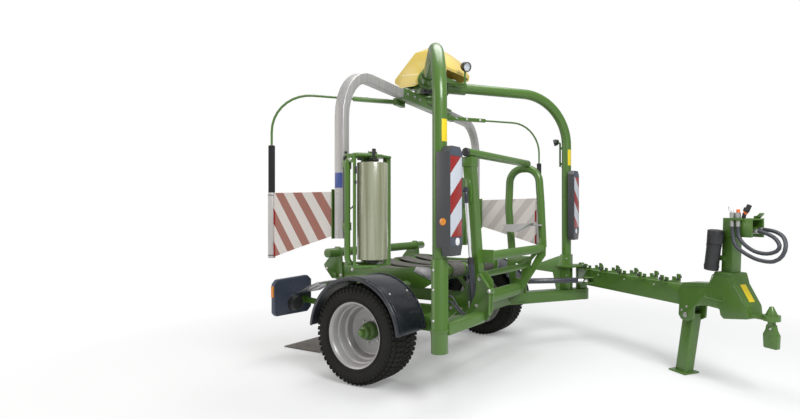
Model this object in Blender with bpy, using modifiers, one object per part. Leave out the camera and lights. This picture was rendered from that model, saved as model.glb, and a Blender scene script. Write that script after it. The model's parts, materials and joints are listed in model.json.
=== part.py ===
"""Towed satellite bale wrapper with twin film dispensers, in metres.

The machine frame has X forward, Y to the left and Z up, with its zero on the ground under the
satellite's axis. The scene's zero is the middle of the parked machine's footprint, MACHINE_SHIFT away.
"""

import math

import bmesh
import bpy
from mathutils import Euler, Matrix, Vector

NAME = "bale_wrapper"
GAP = 0.0003                # left between two pieces that touch
RUN = 0.005                 # left between two pieces that move past each other
TUBE_SIDES = 16
ROD_SIDES = 10

# The place of the satellite's axis in the scene
MACHINE_SHIFT = Vector((-0.902, 0.0, 0.0))

# Wheels and axle
AXLE_X = 0.129
WHEEL_Y = 1.044
TYRE_RADIUS = 0.41
TYRE_WIDTH = 0.34
RIM_RADIUS = 0.255
RIM_WALL = 0.008
HUB_RADIUS = 0.075
WHEEL_STEPS = 32            # alike for tyre and rim, whose flats lie on each other
AXLE_SIZE = 0.10
AXLE_HALF = 0.80

# Fenders, as arcs about the wheel's centre
FENDER_RADIUS = 0.470
FENDER_WALL = 0.008
FENDER_INNER_Y = 0.855
FENDER_OUTER_Y = 1.225
FENDER_FRONT = 5.0
FENDER_REAR = 175.0
FENDER_STEPS = 17
FENDER_LIP = 0.022
FENDER_PAD_FACETS = (5, 12)

# Chassis beams
SIDE_BEAM_Y = 0.42
SIDE_BEAM_SIZE = (0.08, 0.12)
SIDE_BEAM_Z = 0.50
CHASSIS_REAR_X = -0.70
CHASSIS_FRONT_X = 0.64
CROSS_BEAM_SIZE = 0.12
CROSS_BEAM_REACH = 0.84      # to the right, where the outrigger is bolted on
REAR_BEAM_HALF = 0.73

# Round back of a rear lamp: Y and Z
LAMP_POD = (-0.846, 0.535)

# Rear treads: where they start, bend and end, from behind
TREAD_RUN = (-0.955, -0.70, -0.66)
TREAD_TOP = 0.742
TREAD_WALL = 0.018
TREAD_FALL = 0.110
TREAD_WIDTH = 0.30
TREAD_Y = -0.66

# Gantry that carries the satellite
LEG_X = 1.025
LEG_Y = 1.296
GANTRY_TUBE = 0.106
GANTRY_Z = 2.70
GANTRY_BEND = 0.46
SOCKET_TUBE = 0.124
SOCKET_BOTTOM = 0.407
SOCKET_TOP = 1.075
LEFT_SEAT_TOP = 0.93
GANTRY_SLEEVE = 0.140
GANTRY_SLEEVE_END = 0.42
HUB_CASE_RADIUS = 0.12

# Lamp beside the left leg, and the strap that carries it
LEG_LAMP = (0.875, 1.360, 2.215)
LEG_LAMP_FACES = (-0.90, -0.35, -0.25)
LEG_STRAP = (0.930, 1.345)
LEG_STRAP_Z = (1.93, 2.20)

# Satellite: two arms, half a turn apart, about the machine's zero
ARM_ANGLE = -80.2
ARM_RADIUS = 1.483
ARM_SIZE = 0.08
ARM_TOP = 2.535
ARM_BOTTOM = 1.21
ARM_BEND = 0.37
BEAM_HALF = 0.56
BEAM_WALL = 0.008

# Safety rods and the mesh flags that they hold
ROD_ANGLE = -36.40          # from the arm that leads it
ROD_REACH = ARM_RADIUS + 0.016
ROD_SIZE = 0.016
ROD_Z = 2.435
ROD_BEND = 0.34
ROD_START = (0.47, -0.060)   # beside the beam, in the arm's own frame
ROD_CLAMP = 0.035
ROD_CLAMP_LENGTH = 0.42
ROD_FOAM = (1.975, 1.576, 0.048)
ROD_TUBE = (1.575, 1.015, 0.060)
FLAG_OUTER = (1.572, 1.024)
FLAG_INNER = (1.562, 1.225)
FLAG_WALL = 0.006
FLAG_BRACKET_REACH = 0.046
FLAG_STAND_OFF = 0.0015      # the flag's square end meets its strap at a slant

# Film dispenser, in the arm's own frame: along the arm, then beside it
ROLL_REACH = ARM_RADIUS - 0.048
ROLL_ANGLE = 9.0
ROLL_RADIUS = 0.1150
ROLL_LENGTH = 0.72
ROLL_CENTRE_Z = 1.416
CORE_RADIUS = 0.045
CORE_END = 0.008             # what the core stands out of the film
DISPENSER_TUBE = 0.045
DISPENSER_POST = (ARM_RADIUS + 0.050, 0.080)
DISPENSER_TOP = 1.830
DISPENSER_BOTTOM = 1.008
STRETCH_REACH = ARM_RADIUS - 0.194
STRETCH_RADIUS = 0.030
STRETCH_ANGLES = (3.4, 11.6)

# Wrapping table, tipped about its rear axis
TILT_X = -0.62
TILT_Z = 0.80
TILT_SHAFT = 0.04
TABLE_HALF = 0.62
TABLE_WALL = 0.012
ROLLER_RADIUS = 0.06
ROLLER_X = (-0.42, 0.42)
ROLLER_Z = 0.86
BELT_WALL = 0.008
BELT_COUNT = 4
BELT_PITCH = 2 * (TABLE_HALF - TABLE_WALL) / BELT_COUNT
BELT_WIDTH = 0.66 * BELT_PITCH
BELT_SAG = 0.05
REAR_TUBE = 0.086
REAR_TUBE_X = -0.60
REAR_TUBE_Z = 1.02
REAR_TUBE_HALF = 0.765

# Loading arm, swung about a cross shaft in front of the chassis
ARM_PIVOT_X = 0.74
ARM_PIVOT_Z = 0.61
PIVOT_TUBE = 0.13
PIVOT_SHAFT = 0.05
POST_Y = -0.60
POST_SIZE = (0.085, 0.09)
POST_FOOT = (0.955, 0.66)
POST_TOP = (0.862, 1.86)
TOP_TUBE = 0.072
TOP_TUBE_X = 0.868
TOP_TUBE_Z = 1.905
TRUSS_Y = 0.56
TRUSS_WALL = 0.015
FRONT_TUBE = (1.02, 1.04, 0.085)
LOWER_TUBE = (0.86, 0.86, 0.060)
HOOP_TUBE = 0.080
HOOP_Y = 0.6155
HOOP_BEND = 0.15
HOOP_CORNERS = (
    # X, Z of the hoop's centre line, from its rear foot over the top to its front foot
    (0.680, 0.88), (0.632, 1.45), (0.650, 1.860), (0.970, 1.860), (0.997, 1.50), (1.020, 1.05))

# Lift cylinder of the loading arm
LIFT_PIN = (0.97, 0.575)
LIFT_EYE = (0.885, 1.59)
LIFT_Y = -0.70
LIFT_PIN_SIZE = 0.026
LIFT_BARREL = 0.052
LIFT_ROD = 0.030
LIFT_BARREL_LENGTH = 0.46
LIFT_BRACKET_TOP = 0.940     # passes under the dispensers
REACH_SIZE = 0.08            # bar from the right leg's socket to the bracket

# Scoop that steadies the bale, in X and Z, hung on the hoop
GUIDE_LINE = ((0.660, 1.280), (0.695, 1.212), (0.800, 1.206), (0.960, 1.298))
GUIDE_WALL = 0.004
GUIDE_BEND = 0.035
GUIDE_Y = (0.425, 0.555)

# Drawbar, in its own frame: along the beam, to its left, and up
HINGE_X = 1.15
HINGE_Y = 1.45
DRAWBAR_YAW = -36.3
BEAM_BOTTOM = 0.60
BEAM_TOP = 0.775
BEAM_WIDTH = 0.13
BEAM_STUB = 1.70             # the beam ends inside the headstock
JAW_LOWER = (0.42, 0.54)
JAW_UPPER = (0.79, 0.81)
HINGE_PIN = 0.06
HINGE_TUBE = 0.13
RACK_START = 0.20
RACK_PITCH = 0.29
RACK_COUNT = 5
HITCH_REACH = 2.395
HITCH_Z = 0.625
RING_RADIUS = 0.062
RING_BORE = 0.029
CANISTER_Y = -0.118
CANISTER_RADIUS = 0.056

# Hoses parked on the drawbar's holder; their routes are in the drawbar's frame
HOLDER_TOP = 1.36
HOLDER_BACK = 2.115
HOSE_SIZE = 0.030
HOSE_STEP = 0.060
COUPLING_SIZE = 0.034
COUPLING_END = 2.262
GLAND_LOW = 1.345
LONG_HOSE = (
    (2.140, -0.105, GLAND_LOW - GAP), (2.140, -0.105, 1.285), (2.150, -0.108, 1.215),
    (2.181, -0.115, 1.148), (2.281, -0.120, 1.090), (2.387, -0.120, 1.056), (2.493, -0.110, 1.054),
    (2.550, -0.095, 1.099), (2.557, -0.070, 1.168), (2.510, -0.030, 1.228), (2.420, 0.010, 1.262),
    (2.325, 0.028, 1.275), (COUPLING_END + GAP, 0.028, 1.275))
SHORT_HOSE = (
    (2.182, -0.0925, GLAND_LOW - GAP), (2.182, -0.0925, 1.285), (2.190, -0.097, 1.225),
    (2.235, -0.104, 1.172), (2.325, -0.100, 1.118), (2.421, -0.090, 1.104), (2.490, -0.072, 1.128),
    (2.500, -0.058, 1.170), (2.440, -0.040, 1.225), (2.325, -0.028, 1.262),
    (COUPLING_END + GAP, -0.028, 1.262))

# Jack stand under the drawbar
STAND_PIVOT = (1.641, 0.527)
STAND_PIN = 0.028
STAND_FOOT = 1.546
STAND_SIZE = (0.10, 0.11)

# Swing cylinder of the drawbar
SWING_BASE = (0.74, 0.80)
SWING_LUG = (0.26, -0.125)
SWING_Z = 0.665
SWING_PIN_SIZE = 0.030
SWING_BARREL = 0.060
SWING_ROD = 0.032
SWING_BARREL_LENGTH = 0.58

MATERIALS = {
    # name: colour, roughness, metallic
    "green_paint": ((0.08, 0.22, 0.04), 0.35, 0.0),
    "black_plastic": ((0.03, 0.03, 0.033), 0.5, 0.0),
    "blue_grey_plastic": ((0.05, 0.06, 0.08), 0.5, 0.0),
    "yellow_paint": ((0.82, 0.62, 0.16), 0.35, 0.0),
    "aluminium": ((0.50, 0.52, 0.56), 0.35, 1.0),
    "tyre_rubber": ((0.03, 0.03, 0.03), 0.85, 0.0),
    "silver_paint": ((0.42, 0.42, 0.42), 0.4, 0.6),
    "film": ((0.32, 0.35, 0.24), 0.3, 0.0),
    "chrome": ((0.75, 0.75, 0.77), 0.1, 1.0),
    "belt_rubber": ((0.15, 0.14, 0.13), 0.8, 0.0),
    "mesh_fabric": ((0.68, 0.60, 0.56), 0.9, 0.0),
    "board_white": ((0.55, 0.58, 0.62), 0.4, 0.0),
    "hose_rubber": ((0.06, 0.06, 0.07), 0.6, 0.0),
}

for old in list(bpy.data.objects):
    bpy.data.objects.remove(old, do_unlink=True)

PARTS = bpy.data.collections.new(NAME)
bpy.context.scene.collection.children.link(PARTS)


def material(name):
    """The Principled material of that name, made once."""
    if name in bpy.data.materials:
        return bpy.data.materials[name]
    colour, roughness, metallic = MATERIALS[name]
    made = bpy.data.materials.new(name)
    made.use_nodes = True
    shader = made.node_tree.nodes["Principled BSDF"]
    shader.inputs["Base Color"].default_value = (*colour, 1.0)
    shader.inputs["Roughness"].default_value = roughness
    shader.inputs["Metallic"].default_value = metallic
    return made


def empty(name, place, parent=None, yaw=0.0):
    """An axis that pieces hang on; place is in the machine frame."""
    axis = bpy.data.objects.new(name, None)
    axis.location = place
    axis.rotation_euler = (0.0, 0.0, math.radians(yaw))
    axis.parent = parent
    PARTS.objects.link(axis)
    return axis


def from_bmesh(bm):
    """A loose object that holds the bmesh."""
    mesh = bpy.data.meshes.new("piece")
    bmesh.ops.recalc_face_normals(bm, faces=bm.faces)
    bm.to_mesh(mesh)
    bm.free()
    piece = bpy.data.objects.new("piece", mesh)
    PARTS.objects.link(piece)
    return piece


def settle(piece):
    """The piece as a plain mesh, with its modifiers, curve and placing worked in."""
    bpy.context.view_layer.update()
    graph = bpy.context.evaluated_depsgraph_get()
    mesh = bpy.data.meshes.new_from_object(piece.evaluated_get(graph))
    mesh.transform(piece.matrix_world)
    bm = bmesh.new()
    bm.from_mesh(mesh)
    bmesh.ops.remove_doubles(bm, verts=bm.verts, dist=0.00002)
    bpy.data.meshes.remove(mesh)
    bpy.data.objects.remove(piece)
    return from_bmesh(bm)


def box(size, centre, turn=(0.0, 0.0, 0.0)):
    """A box of that size about its centre, turned in degrees."""
    angles = Euler([math.radians(a) for a in turn])
    place = Matrix.Translation(centre) @ angles.to_matrix().to_4x4() @ Matrix.Diagonal((*size, 1.0))
    bm = bmesh.new()
    bmesh.ops.create_cube(bm, size=1.0, matrix=place)
    return from_bmesh(bm)


def span_box(low, high):
    """A box between two corners."""
    size = [b - a for a, b in zip(low, high)]
    centre = [(a + b) / 2 for a, b in zip(low, high)]
    return box(size, centre)


def along(start, direction):
    """The placing that turns +Z to a direction and moves the zero to the start."""
    turn = Vector(direction).to_track_quat("Z", "Y").to_matrix().to_4x4()
    return Matrix.Translation(start) @ turn


def bar(start, end, width, height):
    """A straight beam of rectangular section between two points; height stays upright."""
    run = Vector(end) - Vector(start)
    yaw = math.atan2(run.y, run.x)
    pitch = -math.atan2(run.z, math.hypot(run.x, run.y))
    turn = Euler((0.0, pitch, yaw)).to_matrix().to_4x4()
    middle = (Vector(start) + Vector(end)) / 2
    bm = bmesh.new()
    scale = Matrix.Diagonal((run.length, width, height, 1.0))
    bmesh.ops.create_cube(bm, size=1.0, matrix=Matrix.Translation(middle) @ turn @ scale)
    return from_bmesh(bm)


def rod(start, end, diameter, sides=TUBE_SIDES, end_diameter=None):
    """A round bar or a cone between two points."""
    run = Vector(end) - Vector(start)
    bm = bmesh.new()
    far = diameter if end_diameter is None else end_diameter
    bmesh.ops.create_cone(
        bm, cap_ends=True, segments=sides, radius1=diameter / 2, radius2=far / 2, depth=run.length,
        matrix=along(start, run) @ Matrix.Translation((0.0, 0.0, run.length / 2)))
    return from_bmesh(bm)


def lathe(profile, start, direction, steps=24):
    """A turned piece; the profile holds (radius, height) down the outside, then up the inside."""
    bm = bmesh.new()
    points = [bm.verts.new((radius, 0.0, height)) for radius, height in profile]
    for first, second in zip(points, points[1:]):
        bm.edges.new((first, second))
    if profile[0][0] or profile[-1][0]:
        bm.edges.new((points[-1], points[0]))
    mesh = bpy.data.meshes.new("piece")
    bm.to_mesh(mesh)
    bm.free()
    piece = bpy.data.objects.new("piece", mesh)
    PARTS.objects.link(piece)
    screw = piece.modifiers.new("turn", "SCREW")
    screw.steps = steps
    screw.render_steps = steps
    screw.use_merge_vertices = True
    screw.merge_threshold = 0.00005
    piece.matrix_world = along(start, direction)
    return settle(piece)


def ring(start, end, outer, inner, steps=24):
    """A straight pipe between two points."""
    run = Vector(end) - Vector(start)
    profile = [(outer / 2, run.length), (outer / 2, 0.0), (inner / 2, 0.0), (inner / 2, run.length)]
    return lathe(profile, start, run, steps)


def rounded(points, radius, steps=5, closed=False):
    """The points of a line with each corner turned into an arc of that radius."""
    line = [Vector(p) for p in points]
    count = len(line)
    result = []
    for index, corner in enumerate(line):
        if not closed and index in (0, count - 1):
            result.append(corner)
            continue
        back = (line[index - 1] - corner)
        ahead = (line[(index + 1) % count] - corner)
        angle = back.angle(ahead)
        reach = min(radius / math.tan(angle / 2), 0.49 * back.length, 0.49 * ahead.length)
        bend = reach * math.tan(angle / 2)
        middle = (back.normalized() + ahead.normalized()).normalized()
        centre = corner + middle * (bend / math.sin(angle / 2))
        first = corner + back.normalized() * reach - centre
        last = corner + ahead.normalized() * reach - centre
        sweep = first.angle(last)
        for step in range(steps + 1):
            share = step / steps
            near = math.sin((1 - share) * sweep) / math.sin(sweep)
            far = math.sin(share * sweep) / math.sin(sweep)
            result.append(centre + first * near + last * far)
    return result


def tube(points, diameter, sides=TUBE_SIDES, bend=0.0, steps=6):
    """A bent round tube with filled ends."""
    path = rounded(points, bend, steps) if bend else [Vector(p) for p in points]
    curve = bpy.data.curves.new("piece", "CURVE")
    curve.dimensions = "3D"
    curve.bevel_depth = diameter / 2
    curve.bevel_resolution = (sides - 4) // 2
    curve.use_fill_caps = True
    spline = curve.splines.new("POLY")
    spline.points.add(len(path) - 1)
    for point, place in zip(spline.points, path):
        point.co = (*place, 1.0)
    piece = bpy.data.objects.new("piece", curve)
    PARTS.objects.link(piece)
    return settle(piece)


def smooth(points, step):
    """A smooth line through the points, with a point about every step of its length."""
    line = [Vector(p) for p in points]
    ends = [2 * line[0] - line[1]] + line + [2 * line[-1] - line[-2]]
    result = [line[0]]
    for before, first, last, after in zip(ends, ends[1:], ends[2:], ends[3:]):
        count = max(1, round((last - first).length / step))
        for number in range(1, count + 1):
            t = number / count
            bend = 2 * before - 5 * first + 4 * last - after
            twist = 3 * first - before - 3 * last + after
            result.append((2 * first + (last - before) * t + bend * t ** 2 + twist * t ** 3) / 2)
    return result


def strip_outline(path, wall):
    """The edge view of a sheet of that wall along a flat line."""
    upper, lower = [], []
    for index, point in enumerate(path):
        before = path[max(index - 1, 0)]
        after = path[min(index + 1, len(path) - 1)]
        way = (after - before).normalized()
        side = Vector((-way.y, way.x, 0)) * (wall / 2)
        upper.append((point.x + side.x, point.y + side.y))
        lower.append((point.x - side.x, point.y - side.y))
    return upper + lower[::-1]


PLANES = {
    # the placing of a flat outline: its own x, y and its thickness
    "XY": Matrix.Identity(4),
    "XZ": Matrix(((1, 0, 0, 0), (0, 0, -1, 0), (0, 1, 0, 0), (0, 0, 0, 1))),
    "YZ": Matrix(((0, 0, 1, 0), (1, 0, 0, 0), (0, 1, 0, 0), (0, 0, 0, 1))),
}


def plate(outlines, thickness, plane, offset, corner=0.0, steps=2):
    """A flat piece from outlines, the first outside and the rest holes, at an offset off its plane."""
    curve = bpy.data.curves.new("piece", "CURVE")
    curve.dimensions = "2D"
    curve.fill_mode = "BOTH"
    curve.extrude = thickness / 2
    for outline in outlines:
        flat = [Vector((x, y, 0.0)) for x, y in outline]
        line = rounded(flat, corner, steps, closed=True) if corner else flat
        spline = curve.splines.new("POLY")
        spline.points.add(len(line) - 1)
        for point, place in zip(spline.points, line):
            point.co = (*place, 1.0)
        spline.use_cyclic_u = True
    piece = bpy.data.objects.new("piece", curve)
    PARTS.objects.link(piece)
    placing = PLANES[plane]
    shift = {"XY": (0, 0, offset), "XZ": (0, offset, 0), "YZ": (offset, 0, 0)}[plane]
    piece.matrix_world = Matrix.Translation(shift) @ placing
    return settle(piece)


def circle(x, y, radius, steps=16):
    """The outline of a round hole or edge."""
    turns = [2 * math.pi * step / steps for step in range(steps)]
    return [(x + radius * math.cos(turn), y + radius * math.sin(turn)) for turn in turns]


def bore_for(radius, steps=TUBE_SIDES):
    """The radius of a faceted bore whose flats clear the corners of a shaft by the gap."""
    return (radius + GAP) / math.cos(math.pi / steps)


def arc(x, y, radius, start, end, steps):
    """Points along an arc, in degrees."""
    turns = [math.radians(start + (end - start) * step / steps) for step in range(steps + 1)]
    return [(x + radius * math.cos(turn), y + radius * math.sin(turn)) for turn in turns]


def skin(loops):
    """A closed piece from outlines in space, each joined to the next, with flat ends."""
    bm = bmesh.new()
    rows = [[bm.verts.new(point) for point in loop] for loop in loops]
    for row, after in zip(rows, rows[1:]):
        for index in range(len(row)):
            bm.faces.new((row[index - 1], row[index], after[index], after[index - 1]))
    bm.faces.new(rows[0])
    bm.faces.new(rows[-1])
    return from_bmesh(bm)


def moved(piece, matrix):
    """The piece after a placing."""
    piece.data.transform(matrix)
    if matrix.determinant() < 0:
        piece.data.flip_normals()
    return piece


def copy_of(piece, matrix):
    """A second piece like the first, placed anew."""
    twin = bpy.data.objects.new("piece", piece.data.copy())
    PARTS.objects.link(twin)
    return moved(twin, matrix)


MIRROR_Y = Matrix.Diagonal((1.0, -1.0, 1.0, 1.0))
HALF_TURN = Matrix.Rotation(math.pi, 4, "Z")


def combine(base, others, operation):
    """The base after a union with, or a cut by, the others."""
    for other in others:
        step = base.modifiers.new("combine", "BOOLEAN")
        step.operation = operation
        step.solver = "EXACT"
        step.object = other
    result = settle(base)
    for other in others:
        bpy.data.objects.remove(other)
    return result


def fuse(pieces):
    """One solid from pieces that overlap."""
    return combine(pieces[0], pieces[1:], "UNION")


def cut(piece, cutters):
    """The piece with the cutters taken out of it."""
    return combine(piece, cutters, "DIFFERENCE")


def finish(name, piece, look, carrier, own_frame=False):
    """Name a piece, give it its material and hang it on the axis that carries it."""
    piece.name = name
    piece.data.name = name
    piece.data.materials.clear()
    piece.data.materials.append(material(look))
    piece.data.shade_smooth()
    piece.data.set_sharp_from_angle(angle=math.radians(35))
    piece.parent = carrier
    if not own_frame:
        piece.location = -carrier.location if carrier.parent else Vector()
    return piece


def both_sides(piece):
    """The piece and its mirror image on the machine's other side."""
    return [piece, copy_of(piece, MIRROR_Y)]


def middle_y(piece):
    """The middle of a piece across the machine."""
    across = [vertex.co.y for vertex in piece.data.vertices]
    return (min(across) + max(across)) / 2


def finish_pair(name, pieces, look, carrier):
    """Finish a right and a left piece of one kind."""
    for side, piece in zip(("right", "left"), sorted(pieces, key=middle_y)):
        finish(name + "_" + side, piece, look, carrier)


def build_wheel(side, name, carrier):
    """A tyre, its dished rim and its hub; side is -1 on the right and 1 on the left."""
    centre = Vector((AXLE_X, side * WHEEL_Y, TYRE_RADIUS))
    outward = (0.0, side, 0.0)
    half = TYRE_WIDTH / 2
    wall = RIM_RADIUS - 0.004
    tyre_profile = [
        (wall, half - 0.035), (wall + 0.030, half - 0.012), (TYRE_RADIUS - 0.070, half),
        (TYRE_RADIUS - 0.018, half - 0.016), (TYRE_RADIUS, half - 0.045),
        (TYRE_RADIUS, -half + 0.045), (TYRE_RADIUS - 0.018, -half + 0.016),
        (TYRE_RADIUS - 0.070, -half), (wall + 0.030, -half + 0.012), (wall, -half + 0.035)]
    tyre = lathe(tyre_profile, centre, outward, WHEEL_STEPS)
    finish("tyre_" + name, tyre, "tyre_rubber", carrier)

    seat = wall - GAP
    inner = seat - RIM_WALL
    lip = half - 0.034
    dish = -0.03
    centre_hole = bore_for(HUB_RADIUS, WHEEL_STEPS)
    rim_profile = [
        (seat + 0.018, lip + 0.024), (seat + 0.018, lip + 0.014), (seat, lip), (seat, -lip),
        (seat + 0.018, -lip - 0.014), (seat + 0.018, -lip - 0.024), (inner, -lip - 0.006),
        (inner, dish - 0.05), (inner - 0.045, dish - 0.03), (centre_hole, dish - 0.03),
        (centre_hole, dish - 0.018), (inner - 0.040, dish - 0.018), (inner - 0.012, dish),
        (inner - 0.012, dish + 0.05), (inner, dish + 0.07), (inner, lip + 0.006)]
    rim = lathe(rim_profile, centre, outward, WHEEL_STEPS)
    finish("rim_" + name, rim, "silver_paint", carrier)

    back = centre + Vector(outward) * (AXLE_HALF + GAP - WHEEL_Y)
    depth = WHEEL_Y - AXLE_HALF
    hub_profile = [
        (0.0, depth + 0.085), (0.030, depth + 0.080), (0.036, depth + 0.045), (0.052, depth + 0.040),
        (0.060, depth - 0.010), (HUB_RADIUS, depth - 0.014), (HUB_RADIUS, 0.0), (0.0, 0.0)]
    hub = lathe(hub_profile, back, outward, 20)
    finish("wheel_hub_" + name, hub, "green_paint", carrier)


def build_fenders(carrier):
    """Arched shells over the wheels with a turned-in outer edge."""
    inside = FENDER_RADIUS - FENDER_WALL
    edge = FENDER_OUTER_Y - FENDER_WALL
    lip = FENDER_RADIUS - FENDER_LIP
    section = [(inside, FENDER_INNER_Y), (FENDER_RADIUS, FENDER_INNER_Y), (FENDER_RADIUS, FENDER_OUTER_Y),
               (lip, FENDER_OUTER_Y), (lip, edge), (inside, edge)]
    loops = []
    for turn_x, turn_z in arc(0.0, 0.0, 1.0, FENDER_FRONT, FENDER_REAR, FENDER_STEPS):
        loops.append([(AXLE_X + turn_x * radius, y, TYRE_RADIUS + turn_z * radius) for radius, y in section])
    finish_pair("fender", both_sides(skin(loops)), "black_plastic", carrier)


def fender_bracket():
    """Two spokes from the axle's end to pads under the fender."""
    spoke_y = 0.815
    pieces = []
    facet = (FENDER_REAR - FENDER_FRONT) / FENDER_STEPS
    for number in FENDER_PAD_FACETS:
        angle = FENDER_FRONT + facet * (number + 0.5)
        turn = math.radians(angle)
        reach = (FENDER_RADIUS - FENDER_WALL) * math.cos(math.radians(facet / 2)) - GAP
        base = Vector((AXLE_X, spoke_y - 0.03, TYRE_RADIUS))
        outward = Vector((math.cos(turn), 0.0, math.sin(turn)))
        top = base + outward * (reach - 0.010)
        pieces.append(bar(base, top, 0.03, 0.045))
        pad_length = 0.14
        pad = box((pad_length, 0.05, 0.014), (0, 0, 0))
        spin = Matrix.Rotation(math.radians(90.0 - angle), 4, "Y") @ Matrix.Rotation(math.pi / 2, 4, "Z")
        centre = base + outward * (reach - 0.007) + Vector((0, pad_length / 2 - 0.02, 0))
        pieces.append(moved(pad, Matrix.Translation(centre) @ spin))
    return pieces


def chassis_pieces():
    """The welded beams under the table, the gantry's seats and the drawbar's jaws."""
    depth, height = SIDE_BEAM_SIZE
    low = SIDE_BEAM_Z - height / 2
    high = SIDE_BEAM_Z + height / 2
    pieces = []
    for side in (-1, 1):
        y = side * SIDE_BEAM_Y
        pieces.append(span_box((CHASSIS_REAR_X, y - depth / 2, low),
                               (CHASSIS_FRONT_X - 0.01, y + depth / 2, high)))
    # the axle and the cross beams lie across the side beams
    pieces.append(box((AXLE_SIZE, 2 * AXLE_HALF, AXLE_SIZE), (AXLE_X, 0, TYRE_RADIUS)))
    front_x = CHASSIS_FRONT_X - CROSS_BEAM_SIZE / 2
    pieces.append(span_box((front_x - CROSS_BEAM_SIZE / 2, -CROSS_BEAM_REACH, low - 0.01),
                           (front_x + CROSS_BEAM_SIZE / 2, 0.79, high - 0.01)))
    pieces.append(span_box((CHASSIS_REAR_X + 0.01, -REAR_BEAM_HALF, low + 0.01),
                           (CHASSIS_REAR_X + 0.09, REAR_BEAM_HALF, high + 0.01)))
    return pieces


def right_leg_socket():
    """The flanged tube that takes the right leg, with its arm and the bar to the lift cylinder's bracket."""
    foot = (LEG_X, -LEG_Y, SOCKET_BOTTOM)
    pieces = [rod(foot, (LEG_X, -LEG_Y, SOCKET_TOP), SOCKET_TUBE)]
    pieces.append(rod((LEG_X, -LEG_Y, 0.562), (LEG_X, -LEG_Y, 0.578), SOCKET_TUBE + 0.012))
    pieces.append(bar((0.58, -0.70, 0.50), (LEG_X - 0.01, -LEG_Y + 0.02, 0.50), 0.10, 0.10))
    reach_x = LEG_X + 0.03
    pieces.append(bar((reach_x, -LEG_Y + 0.02, LIFT_PIN[1]), (reach_x, LIFT_Y - 0.055, LIFT_PIN[1]),
                      REACH_SIZE, REACH_SIZE))
    return pieces


def lift_bracket():
    """The folded plate that carries the lift cylinder's lower pin."""
    pin_x, pin_z = LIFT_PIN
    outline = [
        (pin_x + 0.055, 0.920), (pin_x + 0.135, LIFT_BRACKET_TOP), (pin_x + 0.195, 0.87),
        (pin_x + 0.200, 0.77), (pin_x + 0.190, 0.62), (pin_x + 0.150, 0.555), (pin_x + 0.01, pin_z - 0.045),
        (pin_x - 0.045, pin_z + 0.01), (pin_x + 0.010, pin_z + 0.12), (pin_x + 0.045, 0.77)]
    y = LIFT_Y - 0.052
    web = plate([outline], 0.012, "XZ", y, corner=0.02)
    rib = bar((pin_x + 0.095, y - 0.02, 0.92), (pin_x + 0.185, y - 0.02, 0.80), 0.045, 0.010)
    lower_rib = bar((pin_x + 0.185, y - 0.02, 0.82), (pin_x + 0.175, y - 0.02, 0.60), 0.045, 0.010)
    boss = rod((pin_x + 0.185, y - 0.04, 0.79), (pin_x + 0.185, y, 0.79), 0.05)
    pin = rod((pin_x, y, pin_z), (pin_x, LIFT_Y + 0.030, pin_z), LIFT_PIN_SIZE)
    return [web, rib, lower_rib, boss, pin]


def arm_bearings():
    """Lugs on the front cross beam that hold the loading arm's shaft."""
    pieces = []
    for y in (-0.680, 0.630):
        outline = [(0.55, 0.46), (0.64, 0.46), (ARM_PIVOT_X + 0.045, ARM_PIVOT_Z - 0.035),
                   (ARM_PIVOT_X + 0.045, ARM_PIVOT_Z + 0.045), (ARM_PIVOT_X - 0.045, ARM_PIVOT_Z + 0.045),
                   (0.55, 0.55)]
        pieces.append(plate([outline], 0.03, "XZ", y))
    pieces.append(rod((ARM_PIVOT_X, -0.70, ARM_PIVOT_Z), (ARM_PIVOT_X, 0.65, ARM_PIVOT_Z), PIVOT_SHAFT))
    return pieces


def drawbar_jaws():
    """The outrigger on the left, the leg's pedestal and the plates that hold the hinge pin."""
    low, high = JAW_LOWER
    upper_low, upper_high = JAW_UPPER
    pieces = [bar((0.56, 0.66, (low + high) / 2), (HINGE_X, HINGE_Y, (low + high) / 2), 0.14, high - low)]
    pieces.append(rod((HINGE_X, HINGE_Y, low), (HINGE_X, HINGE_Y, high), 0.16))
    pieces.append(rod((HINGE_X, HINGE_Y, low), (HINGE_X, HINGE_Y, upper_high + 0.02), HINGE_PIN))
    seat = 0.055
    pieces.append(span_box((LEG_X - seat, LEG_Y - seat, low + 0.02),
                           (LEG_X + seat, LEG_Y + seat, LEFT_SEAT_TOP)))
    rim = 0.06
    outline = [(LEG_X - 0.09, LEG_Y - 0.10), (LEG_X + 0.09, LEG_Y - 0.10), (HINGE_X + rim, HINGE_Y - 0.05),
               (HINGE_X + rim, HINGE_Y + rim), (HINGE_X - rim, HINGE_Y + rim), (LEG_X - 0.09, LEG_Y + rim)]
    pieces.append(plate([outline], upper_high - upper_low, "XY", (upper_low + upper_high) / 2))
    back = [(LEG_X - 0.05, low + 0.03), (LEG_X - 0.05, LEFT_SEAT_TOP - 0.01),
            (LEG_X - 0.10, LEFT_SEAT_TOP - 0.02), (LEG_X - 0.40, upper_high),
            (LEG_X - 0.40, upper_low - 0.02), (LEG_X - 0.16, upper_low - 0.06), (LEG_X - 0.12, high - 0.01),
            (LEG_X - 0.14, low + 0.03)]
    web = plate([back], 0.014, "XZ", 0.0)
    turn = math.radians(38.0)
    swing = Matrix.Translation((LEG_X, LEG_Y, 0)) @ Matrix.Rotation(turn, 4, "Z")
    pieces.append(moved(web, swing @ Matrix.Translation((-LEG_X, 0, 0))))
    return pieces


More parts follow.
